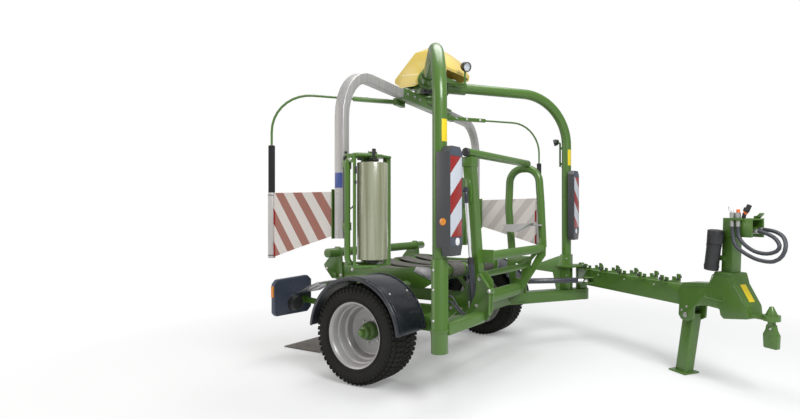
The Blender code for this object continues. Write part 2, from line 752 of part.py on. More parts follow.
def build_chassis(carrier):
    """The whole welded frame."""
    pieces = chassis_pieces() + arm_bearings() + drawbar_jaws()
    for bracket in fender_bracket() + light_bracket():
        pieces += both_sides(bracket)
    for side in (-1, 1):
        # the table's rear posts stand on the side beams
        outline = [(CHASSIS_REAR_X + 0.01, SIDE_BEAM_Z), (TILT_X + 0.20, SIDE_BEAM_Z),
                   (TILT_X + 0.045, TILT_Z + 0.04), (TILT_X - 0.045, TILT_Z + 0.04)]
        pieces.append(plate([outline], 0.016, "XZ", side * (SIDE_BEAM_Y + 0.02)))
    shaft_half = TABLE_HALF + 0.03
    pieces.append(rod((TILT_X, -shaft_half, TILT_Z), (TILT_X, shaft_half, TILT_Z), TILT_SHAFT))
    base = Vector((*SWING_BASE, SWING_Z))
    pieces.append(rod((*SWING_BASE, JAW_LOWER[0] + 0.04), base + Vector((0, 0, 0.045)), SWING_PIN_SIZE))
    pieces.append(bar((0.60, 0.66, 0.50), (*SWING_BASE, 0.50), 0.10, 0.08))
    finish("chassis", fuse(pieces), "green_paint", carrier)

    outrigger = fuse(right_leg_socket() + lift_bracket())
    behind = span_box((0.0, -1.2, 0.3), (CHASSIS_FRONT_X + GAP, -0.5, 0.7))
    finish("right_outrigger", cut(outrigger, [behind]), "green_paint", carrier)


def work_lamp():
    """A round lamp on a short arm at the front end of the drive."""
    head = lathe([(0.0, 0.03), (0.040, 0.03), (0.045, 0.0), (0.030, -0.035), (0.0, -0.04)],
                 (0.48, -0.03, 2.815), (0.85, -0.3, -0.3), 16)
    arm = bar((0.30, 0.0, GANTRY_Z - 0.028), (0.48, -0.02, GANTRY_Z - 0.060), 0.02, 0.02)
    riser = bar((0.472, -0.02, GANTRY_Z - 0.065), (0.475, -0.025, 2.81), 0.02, 0.02)
    return [head, arm, riser]


def drive_motor():
    """The hydraulic motor that turns the satellite, on the hub's case."""
    return rod((0.10, -0.13, GANTRY_Z - 0.10), (0.10, -0.13, GANTRY_Z - 0.02), 0.10, 16)


def leg_lamp():
    """A lamp on a strap beside the left leg, facing the bale."""
    x, y = LEG_STRAP
    low, high = LEG_STRAP_Z
    pieces = [rod((x, y, low), (x, y, high), 0.022, ROD_SIDES)]
    for z in (low + 0.03, high - 0.06):
        pieces.append(bar((x, y, z), (LEG_X, LEG_Y, z), 0.014, 0.03))
    pieces.append(bar((x, y, high - 0.012), LEG_LAMP, 0.014, 0.02))
    profile = [(0.0, 0.022), (0.034, 0.020), (0.036, 0.0), (0.020, -0.028), (0.0, -0.030)]
    pieces.append(lathe(profile, LEG_LAMP, LEG_LAMP_FACES, 12))
    return pieces


def build_gantry(carrier):
    """Two bent tubes from the central hub down to the legs."""
    out = Vector((LEG_X, -LEG_Y, 0.0)).normalized()
    leg = math.hypot(LEG_X, LEG_Y)
    start = out * (HUB_CASE_RADIUS + 0.02) + Vector((0, 0, GANTRY_Z))
    corner = out * leg + Vector((0, 0, GANTRY_Z))
    right = tube([start, corner, (LEG_X, -LEG_Y, SOCKET_TOP + GAP)], GANTRY_TUBE,
                 bend=GANTRY_BEND, steps=9)
    mirrored = Vector((start.x, -start.y, start.z))
    left_corner = Vector((corner.x, -corner.y, corner.z))
    left = tube([mirrored, left_corner, (LEG_X, LEG_Y, LEFT_SEAT_TOP + GAP)], GANTRY_TUBE,
                bend=GANTRY_BEND, steps=9)
    finish_pair("gantry_tube", [right, fuse([left] + leg_lamp())], "green_paint", carrier)

    case = [rod((0, 0, GANTRY_Z - 0.11), (0, 0, GANTRY_Z + 0.07), 2 * HUB_CASE_RADIUS, 20)]
    for side in (-1, 1):
        way = Vector((LEG_X, side * LEG_Y, 0.0)).normalized()
        lift = Vector((0, 0, GANTRY_Z))
        sleeve = rod(way * 0.05 + lift, way * GANTRY_SLEEVE_END + lift, GANTRY_SLEEVE)
        flange = rod(way * 0.20 + lift, way * 0.225 + lift, GANTRY_SLEEVE + 0.05)
        case += [sleeve, flange]
    for x in (-0.19, 0.30):
        case.append(span_box((x, -0.199, GANTRY_Z - 0.03), (x + 0.03, 0.199, GANTRY_Z + 0.01)))
    case.append(span_box((-0.21, -0.03, GANTRY_Z - 0.035), (0.33, 0.03, GANTRY_Z)))
    case += work_lamp() + [drive_motor()]
    hub = fuse(case)
    bores = []
    for side in (-1, 1):
        way = Vector((LEG_X, side * LEG_Y, 0.0)).normalized()
        lift = Vector((0, 0, GANTRY_Z))
        bores.append(rod(way * (HUB_CASE_RADIUS + 0.0197) + lift, way * 0.5 + lift, GANTRY_TUBE + 0.003))
    hub = cut(hub, bores)
    finish("gantry_hub", hub, "green_paint", carrier)


def cover_outline(inset, drop):
    """The hood's side view, drawn in by the inset and let down below its rim by the drop."""
    return [(-0.235 + inset, GANTRY_Z - 0.055 - drop), (-0.235 + inset, GANTRY_Z + 0.075),
            (-0.035 + inset * 0.6, GANTRY_Z + 0.285 - inset), (0.09, GANTRY_Z + 0.335 - inset),
            (0.20, GANTRY_Z + 0.325 - inset), (0.345 - inset * 0.6, GANTRY_Z + 0.250 - inset),
            (0.435 - inset, GANTRY_Z + 0.060), (0.425 - inset, GANTRY_Z - 0.035 - drop)]


def build_cover(carrier):
    """The hollow hood over the satellite's drive."""
    shell = plate([cover_outline(0.0, 0.0)], 0.42, "XZ", 0.0)
    inside = plate([cover_outline(0.010, 0.1)], 0.40, "XZ", 0.0)
    hood = cut(shell, [inside])
    slots = []
    for side in (-1, 1):
        # the gantry's sleeves leave through the hood's sides
        way = Vector((LEG_X, side * LEG_Y, 0.0)).normalized()
        lift = Vector((0, 0, GANTRY_Z))
        slots.append(rod(way * 0.10 + lift, way * 0.60 + lift, GANTRY_SLEEVE + 0.07))
        slots.append(bar(way * 0.10 + lift + Vector((0, 0, -0.1)), way * 0.60 + lift + Vector((0, 0, -0.1)),
                         GANTRY_SLEEVE + 0.07, 0.2))
    hood = cut(hood, slots)
    finish("drive_hood", hood, "yellow_paint", carrier)


def on_arm(piece, turn=0.0):
    """A piece modelled in an arm's own frame, turned to where the arm stands."""
    return moved(piece, Matrix.Rotation(math.radians(ARM_ANGLE + turn), 4, "Z"))


def both_arms(piece):
    """The piece on the right arm and its like on the left arm."""
    first = on_arm(piece)
    return [first, copy_of(first, HALF_TURN)]


def polar(reach, angle):
    """A point in an arm's own frame from its distance to the axis and its angle from the arm."""
    turn = math.radians(angle)
    return Vector((reach * math.cos(turn), reach * math.sin(turn), 0.0))


def build_satellite(carrier):
    """The beam under the hub with its two bent aluminium arms."""
    middle = ARM_TOP - ARM_SIZE / 2
    outer = ARM_SIZE + 2 * (BEAM_WALL + GAP)
    beam = box((2 * BEAM_HALF, outer, outer), (0, 0, middle))
    hub_top = GANTRY_Z - 0.11 - 0.0008
    hub = rod((0, 0, middle), (0, 0, hub_top), 0.20, 20)
    foot = rod((0, 0, ARM_TOP + 0.006), (0, 0, ARM_TOP + 0.022), 0.30, 20)
    beam = fuse([beam, hub, foot])
    bores = []
    for side in (-1, 1):
        bores.append(box((BEAM_HALF, ARM_SIZE + 2 * GAP, ARM_SIZE + 2 * GAP),
                         (side * (0.20 + BEAM_HALF / 2), 0, middle)))
    finish("satellite_beam", on_arm(cut(beam, bores)), "green_paint", carrier)

    half = ARM_SIZE / 2
    start = 0.20 + GAP
    outside = rounded([Vector((start, ARM_TOP, 0)), Vector((ARM_RADIUS + half, ARM_TOP, 0)),
                       Vector((ARM_RADIUS + half, ARM_BOTTOM, 0))], ARM_BEND + half, 8)
    inside = rounded([Vector((ARM_RADIUS - half, ARM_BOTTOM, 0)),
                      Vector((ARM_RADIUS - half, ARM_TOP - ARM_SIZE, 0)),
                      Vector((start, ARM_TOP - ARM_SIZE, 0))], ARM_BEND - half, 8)
    outline = [(p.x, p.y) for p in outside + inside]
    arm = plate([outline], ARM_SIZE, "XZ", 0.0)
    finish_pair("satellite_arm", both_arms(arm), "aluminium", carrier)


def build_rods(carrier):
    """Thin safety rods that run ahead of the arms, with their foam and tubes."""
    end = polar(ROD_REACH, ROD_ANGLE)
    start = Vector((*ROD_START, ROD_Z))
    corner = Vector((end.x, end.y, ROD_Z))
    foot = Vector((end.x, end.y, ROD_TUBE[1] + 0.02))
    way = (corner - start).normalized()
    line = tube([start + way * 0.02, corner, foot], ROD_SIZE, ROD_SIDES, bend=ROD_BEND, steps=9)
    clamp = bar(start, start + way * ROD_CLAMP_LENGTH, ROD_CLAMP, ROD_CLAMP)
    beam_side = ARM_SIZE / 2 + BEAM_WALL + 2 * GAP
    root = span_box((ROD_START[0] - 0.10, ROD_START[1] - 0.03, ROD_Z - 0.03),
                    (ROD_START[0] + 0.05, -beam_side, ROD_Z + 0.03))
    foam_top, foam_low, foam_size = ROD_FOAM
    foam = rod((end.x, end.y, foam_low), (end.x, end.y, foam_top), foam_size, 12)
    finish_pair("safety_rod", both_arms(fuse([clamp, root, line, foam])), "green_paint", carrier)

    top, low, size = ROD_TUBE
    sleeve = ring((end.x, end.y, low), (end.x, end.y, top), size, ROD_SIZE + 0.001, 12)
    finish_pair("rod_tube", both_arms(sleeve), "silver_paint", carrier)


def build_flags(carrier):
    """Striped mesh panels between the rods' tubes and brackets on the arms."""
    end = polar(ROD_REACH, ROD_ANGLE)
    inner = Vector((ARM_RADIUS, -ARM_SIZE / 2 - FLAG_BRACKET_REACH - FLAG_STAND_OFF, 0.0))
    run = inner - Vector((end.x, end.y, 0.0))
    first = ROD_TUBE[2] / 2 + 2 * GAP
    outline = [(first, FLAG_OUTER[0]), (first, FLAG_OUTER[1]), (run.length, FLAG_INNER[1]),
               (run.length, FLAG_INNER[0])]
    flag = plate([outline], FLAG_WALL, "XZ", 0.0)
    placing = Matrix.Translation(end) @ Matrix.Rotation(math.atan2(run.y, run.x), 4, "Z")
    finish_pair("mesh_flag", both_arms(moved(flag, placing)), "mesh_fabric", carrier)

    y = -ARM_SIZE / 2
    top = FLAG_INNER[0] + 0.015
    low = FLAG_INNER[1] - 0.015
    middle = (top + low) / 2
    outline = [(y - GAP, top), (y - 0.042, top), (y - 0.042, low), (y - GAP, low), (y - GAP, low + 0.05),
               (y - 0.016, middle - 0.08), (y - 0.016, middle + 0.08), (y - GAP, top - 0.05)]
    web = plate([outline], 0.012, "YZ", ARM_RADIUS - 0.020)
    strap = span_box((ARM_RADIUS - 0.029, y - FLAG_BRACKET_REACH, low - 0.004),
                     (ARM_RADIUS + 0.012, y - FLAG_BRACKET_REACH + 0.008, top + 0.004))
    finish_pair("flag_bracket", both_arms(fuse([web, strap])), "green_paint", carrier)


def dispenser_plate(z):
    """The flat plate that carries one end of the roll and of the stretch rollers."""
    roll = polar(ROLL_REACH, ROLL_ANGLE)
    first, second = [polar(STRETCH_REACH, angle) for angle in STRETCH_ANGLES]
    post_x, post_y = DISPENSER_POST
    outline = [(post_x + 0.018, post_y - 0.018), (post_x + 0.020, post_y + 0.085),
               (roll.x + 0.05, roll.y + 0.06), (second.x + 0.01, second.y + 0.045),
               (second.x - 0.020, second.y + 0.01),
               (first.x - 0.026, first.y - 0.01), (first.x, first.y - 0.028)]
    return plate([outline], 0.016, "XY", z, corner=0.012)


def build_dispensers(carrier):
    """Tube frames outside the arms that hold the film rolls and the stretch rollers."""
    roll = polar(ROLL_REACH, ROLL_ANGLE)
    post_x, post_y = DISPENSER_POST
    path = [(roll.x, roll.y, DISPENSER_TOP), (post_x, post_y, DISPENSER_TOP),
            (post_x, post_y, DISPENSER_BOTTOM), (roll.x, roll.y, DISPENSER_BOTTOM)]
    frame = [tube(path, DISPENSER_TUBE, 12, bend=0.07, steps=5)]
    frame.append(dispenser_plate(DISPENSER_TOP))
    frame.append(dispenser_plate(DISPENSER_BOTTOM))
    roll_top = ROLL_CENTRE_Z + ROLL_LENGTH / 2
    roll_low = ROLL_CENTRE_Z - ROLL_LENGTH / 2
    core_end = CORE_END + 0.0008
    spindle = 0.07
    frame.append(rod((roll.x, roll.y, roll_top + core_end), (roll.x, roll.y, DISPENSER_TOP + 0.030), spindle))
    frame.append(rod((roll.x, roll.y, DISPENSER_BOTTOM - 0.012), (roll.x, roll.y, roll_low - core_end),
                     spindle))
    brace = Vector((post_x + 0.010, post_y + 0.068, DISPENSER_BOTTOM))
    frame.append(rod(brace, (brace.x, brace.y, DISPENSER_TOP), 0.024, ROD_SIDES))
    for z in (1.30, 1.76):
        frame.append(span_box((post_x - 0.065, ARM_SIZE / 2 + GAP, z - 0.03),
                              (post_x + 0.004, post_y - 0.006, z + 0.03)))
    for angle in STRETCH_ANGLES:
        place = polar(STRETCH_REACH, angle)
        frame.append(rod((place.x, place.y, DISPENSER_BOTTOM), (place.x, place.y, DISPENSER_TOP),
                         2 * STRETCH_RADIUS, 12))
    finish_pair("dispenser", both_arms(fuse(frame)), "green_paint", carrier)


def build_roll(name, turn, carrier):
    """A full roll of stretch film on its core."""
    place = Matrix.Rotation(math.radians(ARM_ANGLE + turn), 4, "Z") @ polar(ROLL_REACH, ROLL_ANGLE)
    half = ROLL_LENGTH / 2
    core = half + CORE_END
    profile = [(0.0, core), (CORE_RADIUS, core), (CORE_RADIUS, half), (ROLL_RADIUS, half),
               (ROLL_RADIUS, -half), (CORE_RADIUS, -half), (CORE_RADIUS, -core), (0.0, -core)]
    roll = lathe(profile, (place.x, place.y, ROLL_CENTRE_Z), (0, 0, 1), 32)
    finish(name, roll, "film", carrier)


def belt_outline(radius):
    """The side view of one side of a belt round the two rollers, sagging under the bale."""
    rear, front = ROLLER_X
    top = ROLLER_Z + radius
    line = arc(front, ROLLER_Z, radius, -90, 90, 8)
    for step in range(1, 8):
        share = step / 8
        sag = BELT_SAG * 4 * share * (1 - share)
        line.append((front + (rear - front) * share, top - sag))
    return line + arc(rear, ROLLER_Z, radius, 90, 270, 8)


def build_table(carrier):
    """The tipping table: side plates, two rollers, four belts and the rear guide tube."""
    rear, front = ROLLER_X
    outline = [(TILT_X - 0.035, TILT_Z - 0.035), (-0.50, 0.735), (0.40, 0.735), (0.50, 0.79),
               (0.50, 0.90), (0.46, 0.925), (0.36, 0.925), (0.10, 0.90), (-0.10, 0.90), (-0.40, 0.925),
               (TILT_X - 0.06, 0.93)]
    pieces = []
    for side in (-1, 1):
        hole = circle(TILT_X, TILT_Z, bore_for(TILT_SHAFT / 2))
        pieces.append(plate([outline, hole], TABLE_WALL, "XZ", side * (TABLE_HALF - TABLE_WALL / 2)))
    for x in (-0.25, 0.25):
        pieces.append(rod((x, -TABLE_HALF + 0.004, 0.757), (x, TABLE_HALF - 0.004, 0.757), 0.04, 12))
    reach = TABLE_HALF - TABLE_WALL / 2
    for x in ROLLER_X:
        pieces.append(rod((x, -reach, ROLLER_Z), (x, reach, ROLLER_Z), 2 * ROLLER_RADIUS, 24))
    finish("table_frame", fuse(pieces), "green_paint", carrier)

    inner = ROLLER_RADIUS + 0.0016
    for number in range(1, BELT_COUNT + 1):
        y = (number - (BELT_COUNT + 1) / 2) * BELT_PITCH
        loops = [belt_outline(inner + BELT_WALL), belt_outline(inner)]
        finish("table_belt_%d" % number, plate(loops, BELT_WIDTH, "XZ", y), "belt_rubber", carrier)

    guide = [rod((REAR_TUBE_X, -REAR_TUBE_HALF, REAR_TUBE_Z), (REAR_TUBE_X, REAR_TUBE_HALF, REAR_TUBE_Z),
                 REAR_TUBE)]
    for side in (-1, 1):
        ear = [(TILT_X + 0.09, TILT_Z - 0.03), (REAR_TUBE_X + 0.055, REAR_TUBE_Z - 0.02),
               (REAR_TUBE_X + 0.03, REAR_TUBE_Z + 0.055), (REAR_TUBE_X - 0.03, REAR_TUBE_Z + 0.055),
               (REAR_TUBE_X - 0.06, REAR_TUBE_Z), (TILT_X - 0.16, TILT_Z + 0.09),
               (TILT_X - 0.13, TILT_Z + 0.05), (TILT_X - 0.05, TILT_Z - 0.035)]
        hole = circle(TILT_X, TILT_Z, bore_for(TILT_SHAFT / 2))
        ear_y = side * (TABLE_HALF + GAP + 0.007)
        guide.append(cut(plate([ear], 0.014, "XZ", ear_y, corner=0.015),
                         [plate([hole], 0.03, "XZ", ear_y)]))
    finish("table_rear_guide", fuse(guide), "green_paint", carrier)


def build_loading_arm(carrier):
    """The arm that rolls a bale onto the table: post, tubes, truss and hoop round a cross shaft."""
    width, depth = POST_SIZE[1], POST_SIZE[0]
    foot = Vector((POST_FOOT[0], POST_Y, POST_FOOT[1]))
    top = Vector((POST_TOP[0], POST_Y, POST_TOP[1]))
    inner = POST_Y + width / 2
    outer = POST_Y - width / 2
    post = bar(foot, top, width, depth)
    seat = TOP_TUBE_Z - TOP_TUBE / 2 - GAP
    collar = span_box((POST_TOP[0] - 0.050, outer - 0.008, seat - 0.08),
                      (POST_TOP[0] + 0.052, inner + 0.008, seat))
    link = [(ARM_PIVOT_X - 0.02, ARM_PIVOT_Z - 0.075), (ARM_PIVOT_X + 0.10, ARM_PIVOT_Z - 0.06),
            (POST_FOOT[0] + 0.045, POST_FOOT[1] - 0.03), (POST_FOOT[0] + 0.030, POST_FOOT[1] + 0.26),
            (POST_FOOT[0] - 0.045, POST_FOOT[1] + 0.22), (ARM_PIVOT_X + 0.06, ARM_PIVOT_Z + 0.10),
            (ARM_PIVOT_X - 0.04, ARM_PIVOT_Z + 0.070), (ARM_PIVOT_X - 0.075, ARM_PIVOT_Z)]
    shaft_hole = circle(ARM_PIVOT_X, ARM_PIVOT_Z, bore_for(PIVOT_SHAFT / 2))
    cheek = plate([link, shaft_hole], width - 0.01, "XZ", POST_Y)
    ear = [(POST_TOP[0] - 0.030, LIFT_EYE[1] - 0.15), (POST_TOP[0] + 0.050, LIFT_EYE[1] - 0.10),
           (LIFT_EYE[0] + 0.03, LIFT_EYE[1] + 0.03), (POST_TOP[0] + 0.02, LIFT_EYE[1] + 0.10),
           (POST_TOP[0] - 0.015, LIFT_EYE[1] + 0.08)]
    lug = plate([ear], 0.022, "XZ", outer - 0.008)
    stub = rod((LIFT_EYE[0], outer, LIFT_EYE[1]), (LIFT_EYE[0], LIFT_Y + 0.0205, LIFT_EYE[1]), 0.03)
    gusset_x, gusset_z, gusset_size = FRONT_TUBE
    gusset = span_box((POST_TOP[0] + 0.04, inner - 0.012, gusset_z - 0.055),
                      (gusset_x + gusset_size / 2 + 0.008, inner + 0.002, gusset_z + 0.055))
    solid = fuse([post, collar, cheek, lug, stub, gusset])
    finish("loading_arm_post", solid, "green_paint", carrier)

    hoop_side = HOOP_Y - HOOP_TUBE / 2 - GAP
    cross = rod((TOP_TUBE_X, outer - 0.03, TOP_TUBE_Z), (TOP_TUBE_X, hoop_side, TOP_TUBE_Z), TOP_TUBE)
    finish("loading_arm_top_tube", cross, "green_paint", carrier)

    left = TRUSS_Y + TRUSS_WALL / 2
    start = inner + 0.002 + GAP
    cross_tubes = []
    for x, z, size in (FRONT_TUBE, LOWER_TUBE):
        cross_tubes.append(rod((x, start, z), (x, left, z), size))
    boss = TRUSS_Y + TRUSS_WALL + 0.006
    cross_tubes.append(ring((ARM_PIVOT_X, start, ARM_PIVOT_Z), (ARM_PIVOT_X, boss, ARM_PIVOT_Z),
                            PIVOT_TUBE, 2 * bore_for(PIVOT_SHAFT / 2, 20), 20))

    rear_foot = HOOP_CORNERS[0]
    front_foot = HOOP_CORNERS[-1]
    frame = [(ARM_PIVOT_X - 0.05, ARM_PIVOT_Z - 0.05), (ARM_PIVOT_X + 0.04, ARM_PIVOT_Z - 0.065),
             (0.95, 0.80), (front_foot[0] + 0.05, 0.97), (front_foot[0] + 0.055, 1.14),
             (front_foot[0] - 0.01, 1.15), (front_foot[0] - 0.05, 1.05), (0.90, 0.955),
             (rear_foot[0] + 0.04, 0.955), (rear_foot[0] - 0.04, 0.955), (rear_foot[0] - 0.04, 0.85),
             (ARM_PIVOT_X - 0.065, ARM_PIVOT_Z + 0.04)]
    windows = [
        [(0.735, 0.73), (0.80, 0.715), (0.80, 0.86), (0.735, 0.88)],
        [(0.90, 0.84), (0.985, 0.99), (0.915, 0.915)],
        circle(ARM_PIVOT_X, ARM_PIVOT_Z, PIVOT_TUBE / 2 - 0.015)]
    truss = plate([frame] + windows, TRUSS_WALL, "XZ", TRUSS_Y + TRUSS_WALL / 2)
    finish("loading_arm_truss", fuse([truss] + cross_tubes), "green_paint", carrier)

    corners = [Vector((x, HOOP_Y, z)) for x, z in HOOP_CORNERS]
    hoop = tube(corners, HOOP_TUBE, 12, bend=HOOP_BEND, steps=6)
    finish("loading_arm_hoop", hoop, "green_paint", carrier)

    near, far = GUIDE_Y
    line = rounded([Vector((x, z, 0)) for x, z in GUIDE_LINE], GUIDE_BEND, 2)
    scoop = plate([strip_outline(line, GUIDE_WALL)], far - near, "XZ", (near + far) / 2)
    end_wall = plate([[(point.x, point.y) for point in line]], GUIDE_WALL, "XZ", near + GUIDE_WALL)
    lip_x, lip_z = GUIDE_LINE[-1]
    tie = span_box((lip_x - 0.035, far - 0.025, lip_z - 0.030), (lip_x + 0.070, hoop_side, lip_z - 0.014))
    finish("bale_guide", fuse([scoop, end_wall, tie]), "silver_paint", carrier)


def build_cylinder(name, pins, sizes, closed_end, barrel_carrier, rod_carrier):
    """A hydraulic cylinder between two pins: a hollow barrel and the rod that slides in it."""
    base, eye = [Vector(p) for p in pins]
    barrel_size, rod_size, barrel_length, base_pin, eye_bore, across = sizes
    way = (eye - base).normalized()
    start = base + way * (barrel_size * 0.45)
    bottom = base + way * (barrel_size * 0.45 + 0.02)
    mouth = base + way * barrel_length
    barrel = rod(start, mouth, barrel_size)
    knuckle = rod(base - across * 0.015, base + across * 0.015, barrel_size * 1.02)
    barrel = fuse([barrel, knuckle])
    pin_hole = rod(base - across * 0.03, base + across * 0.03, 2 * bore_for(base_pin / 2))
    bore = rod(bottom, mouth + way * 0.01, rod_size + 2 * GAP)
    finish(name + "_barrel", cut(barrel, [pin_hole, bore]), "black_plastic", barrel_carrier)

    inner_end = base + way * closed_end
    head = rod(eye - across * 0.015, eye + across * 0.015, eye_bore + 0.028)
    shaft = fuse([rod(inner_end, eye - way * (eye_bore * 0.5 + 0.006), rod_size), head])
    if eye_bore > 0.035:
        shaft = cut(shaft, [rod(eye - across * 0.03, eye + across * 0.03, eye_bore)])
    finish(name + "_rod", shaft, "chrome", rod_carrier)


def build_lift_cylinder(barrel_carrier, rod_carrier):
    """The cylinder that holds the loading arm up."""
    pins = ((LIFT_PIN[0], LIFT_Y, LIFT_PIN[1]), (LIFT_EYE[0], LIFT_Y, LIFT_EYE[1]))
    sizes = (LIFT_BARREL, LIFT_ROD, LIFT_BARREL_LENGTH, LIFT_PIN_SIZE, 0.022, Vector((0, 1, 0)))
    build_cylinder("lift_cylinder", pins, sizes, 0.31, barrel_carrier, rod_carrier)


def drawbar_point(x, y, z):
    """A point of the drawbar's own frame in the machine frame."""
    turn = Matrix.Rotation(math.radians(DRAWBAR_YAW), 3, "Z")
    return turn @ Vector((x, y, z)) + Vector((HINGE_X, HINGE_Y, 0.0))


def build_swing_cylinder(barrel_carrier, rod_carrier):
    """The cylinder that swings the drawbar."""
    pins = ((*SWING_BASE, SWING_Z), drawbar_point(*SWING_LUG, SWING_Z))
    sizes = (SWING_BARREL, SWING_ROD, SWING_BARREL_LENGTH, SWING_PIN_SIZE, 0.050, Vector((0, 0, 1)))
    build_cylinder("swing_cylinder", pins, sizes, 0.12, barrel_carrier, rod_carrier)


def hose_holder():
    """The mast with its hollow holder, two parked couplings and the glands that the hoses leave."""
    mast = bar((2.035, 0, 0.86), (2.055, 0, HOLDER_TOP), 0.10, 0.10)
    shelf = span_box((2.06, -0.07, 1.215), (2.28, 0.07, HOLDER_TOP))
    hollow = span_box((HOLDER_BACK, -0.055, 1.20), (2.30, 0.055, HOLDER_TOP - 0.012))
    pieces = [cut(fuse([mast, shelf]), [hollow])]
    for route in (LONG_HOSE, SHORT_HOSE):
        _, y, z = route[-1]
        pieces.append(rod((HOLDER_BACK - 0.02, y, z), (COUPLING_END, y, z), COUPLING_SIZE, 12))
        x, y, _ = route[0]
        pieces.append(rod((x, y, GLAND_LOW + 0.004), (x, y, GLAND_LOW + 0.050), COUPLING_SIZE, 12))
    pieces.append(span_box((2.115, -0.128, GLAND_LOW), (2.207, -0.060, HOLDER_TOP - 0.0005)))
    return fuse(pieces)


def build_hoses(carrier):
    """The two hydraulic hoses that hang from the holder in loops."""
    for name, route in (("drawbar_hose_long", LONG_HOSE), ("drawbar_hose_short", SHORT_HOSE)):
        hose = tube(smooth(route, HOSE_STEP), HOSE_SIZE, 10)
        finish(name, hose, "hose_rubber", carrier, own_frame=True)


def build_drawbar(carrier):
    """The swinging drawbar with its headstock, racks, hose mast and hitch, in its own frame."""
    middle = (BEAM_TOP + BEAM_BOTTOM) / 2
    height = BEAM_TOP - BEAM_BOTTOM
    low = JAW_LOWER[1] + RUN
    high = JAW_UPPER[0] - RUN
    tube_part = rod((0, 0, low), (0, 0, high), HINGE_TUBE, 20)
    beam = span_box((0.03, -BEAM_WIDTH / 2, BEAM_BOTTOM), (BEAM_STUB, BEAM_WIDTH / 2, BEAM_TOP))
    lug_x, lug_y = SWING_LUG
    pieces = [tube_part, beam]
    ear = [(lug_x - 0.06, -0.05), (lug_x + 0.06, -0.05), (lug_x + 0.025, lug_y - 0.03),
           (lug_x - 0.025, lug_y - 0.03)]
    for z in (SWING_Z - 0.030, SWING_Z + 0.030):
        pieces.append(plate([ear], 0.012, "XY", z))
    pieces.append(rod((lug_x, lug_y, SWING_Z - 0.034), (lug_x, lug_y, SWING_Z + 0.034), 0.018, 12))
    for index in range(RACK_COUNT):
        x = RACK_START + index * RACK_PITCH
        foot = BEAM_TOP - 0.004
        pieces.append(span_box((x, -0.105, foot), (x + 0.045, 0.105, BEAM_TOP + 0.012)))
        for y, top in ((-0.10, 0.84), (-0.045, 0.82), (0.045, 0.82), (0.10, 0.84)):
            pieces.append(span_box((x, y - 0.005, foot), (x + 0.045, y + 0.005, top)))
    solid = cut(fuse(pieces), [rod((0, 0, low - 0.05), (0, 0, high + 0.05), 2 * bore_for(HINGE_PIN / 2))])
    finish("drawbar_beam", solid, "green_paint", carrier, own_frame=True)

    head_outline = [(1.56, BEAM_BOTTOM - 0.085), (1.575, 0.72), (1.61, 0.80), (1.90, 0.825), (1.95, 0.93),
                    (2.12, 0.93), (2.145, 0.845), (2.25, 0.69), (2.262, 0.595), (2.035, 0.560),
                    (2.005, 0.585), (1.995, 0.632), (1.78, 0.642), (1.73, 0.60), (1.72, 0.50), (1.66, 0.47),
                    (1.59, 0.48)]
    cheek = plate([head_outline], 0.16, "XZ", 0.0, corner=0.015)
    side = BEAM_WIDTH / 2 + GAP
    pocket = [span_box((1.40, -side, BEAM_BOTTOM - GAP), (BEAM_STUB + GAP, side, BEAM_TOP + GAP))]
    pocket.append(span_box((1.50, -0.062, 0.40), (1.80, 0.062, BEAM_BOTTOM + 0.01)))
    cheek = cut(cheek, pocket)
    stay = hose_holder()
    neck = plate([[(2.24, -0.05), (2.36, -0.035), (2.36, 0.035), (2.24, 0.05)]], 0.03, "XY", HITCH_Z - 0.005)
    eye = Vector((HITCH_REACH, 0, HITCH_Z))
    ring_part = rod(eye - Vector((0, 0, 0.02)), eye + Vector((0, 0, 0.02)), 2 * RING_RADIUS, 24)
    pivot_x, pivot_z = STAND_PIVOT
    pin = rod((pivot_x, -0.088, pivot_z), (pivot_x, 0.088, pivot_z), STAND_PIN, 12)
    can_edge = CANISTER_Y + CANISTER_RADIUS + GAP
    can_seat = span_box((1.945, can_edge, 1.02), (2.03, -0.04, 1.06))
    head = fuse([cheek, stay, neck, ring_part, pin, can_seat])
    head = cut(head, [rod(eye - Vector((0, 0, 0.1)), eye + Vector((0, 0, 0.1)), 2 * RING_BORE, 20)])
    finish("headstock", head, "green_paint", carrier, own_frame=True)

    bolt_profile = [(0.0, 0.085), (0.014, 0.083), (0.022, 0.066), (0.044, 0.0208), (0.044, 0.0203),
                    (RING_BORE - 0.001, 0.0203), (RING_BORE - 0.001, -0.055), (0.0, -0.055)]
    dome = lathe(bolt_profile, eye, (0, 0, 1), 20)
    tongue = [(2.34, 0.40), (2.45, 0.40), (2.455, 0.50), (2.435, 0.535), (2.425, 0.578), (2.365, 0.578),
              (2.355, 0.535), (2.335, 0.50)]
    hanger = plate([tongue], 0.035, "XZ", 0.0, corner=0.01)
    finish("hitch_tongue", fuse([dome, hanger]), "green_paint", carrier, own_frame=True)

    can = [rod((1.985, CANISTER_Y, 1.16), (1.995, CANISTER_Y, 1.262), 2 * CANISTER_RADIUS + 0.014, 20)]
    can.append(rod((1.947, CANISTER_Y, 0.945), (1.985, CANISTER_Y, 1.20), 2 * CANISTER_RADIUS, 20))
    finish("tool_canister", fuse(can), "black_plastic", carrier, own_frame=True)


def build_stand(carrier):
    """The folding jack stand: a leg on its pin and a foot plate flat on the ground."""
    x, z = STAND_PIVOT
    height = 0.014
    leg = bar((x + 0.004, 0, z + 0.02), (STAND_FOOT, 0, 0.006), *STAND_SIZE)
    foot = span_box((STAND_FOOT - 0.10, -0.085, 0.0), (STAND_FOOT + 0.09, 0.085, height))
    solid = fuse([leg, foot])
    below = span_box((STAND_FOOT - 0.3, -0.3, -0.2), (STAND_FOOT + 0.3, 0.3, 0.0))
    solid = cut(solid, [below, rod((x, -0.2, z), (x, 0.2, z), 2 * bore_for(STAND_PIN / 2))])
    finish("jack_stand", solid, "green_paint", carrier, own_frame=True)


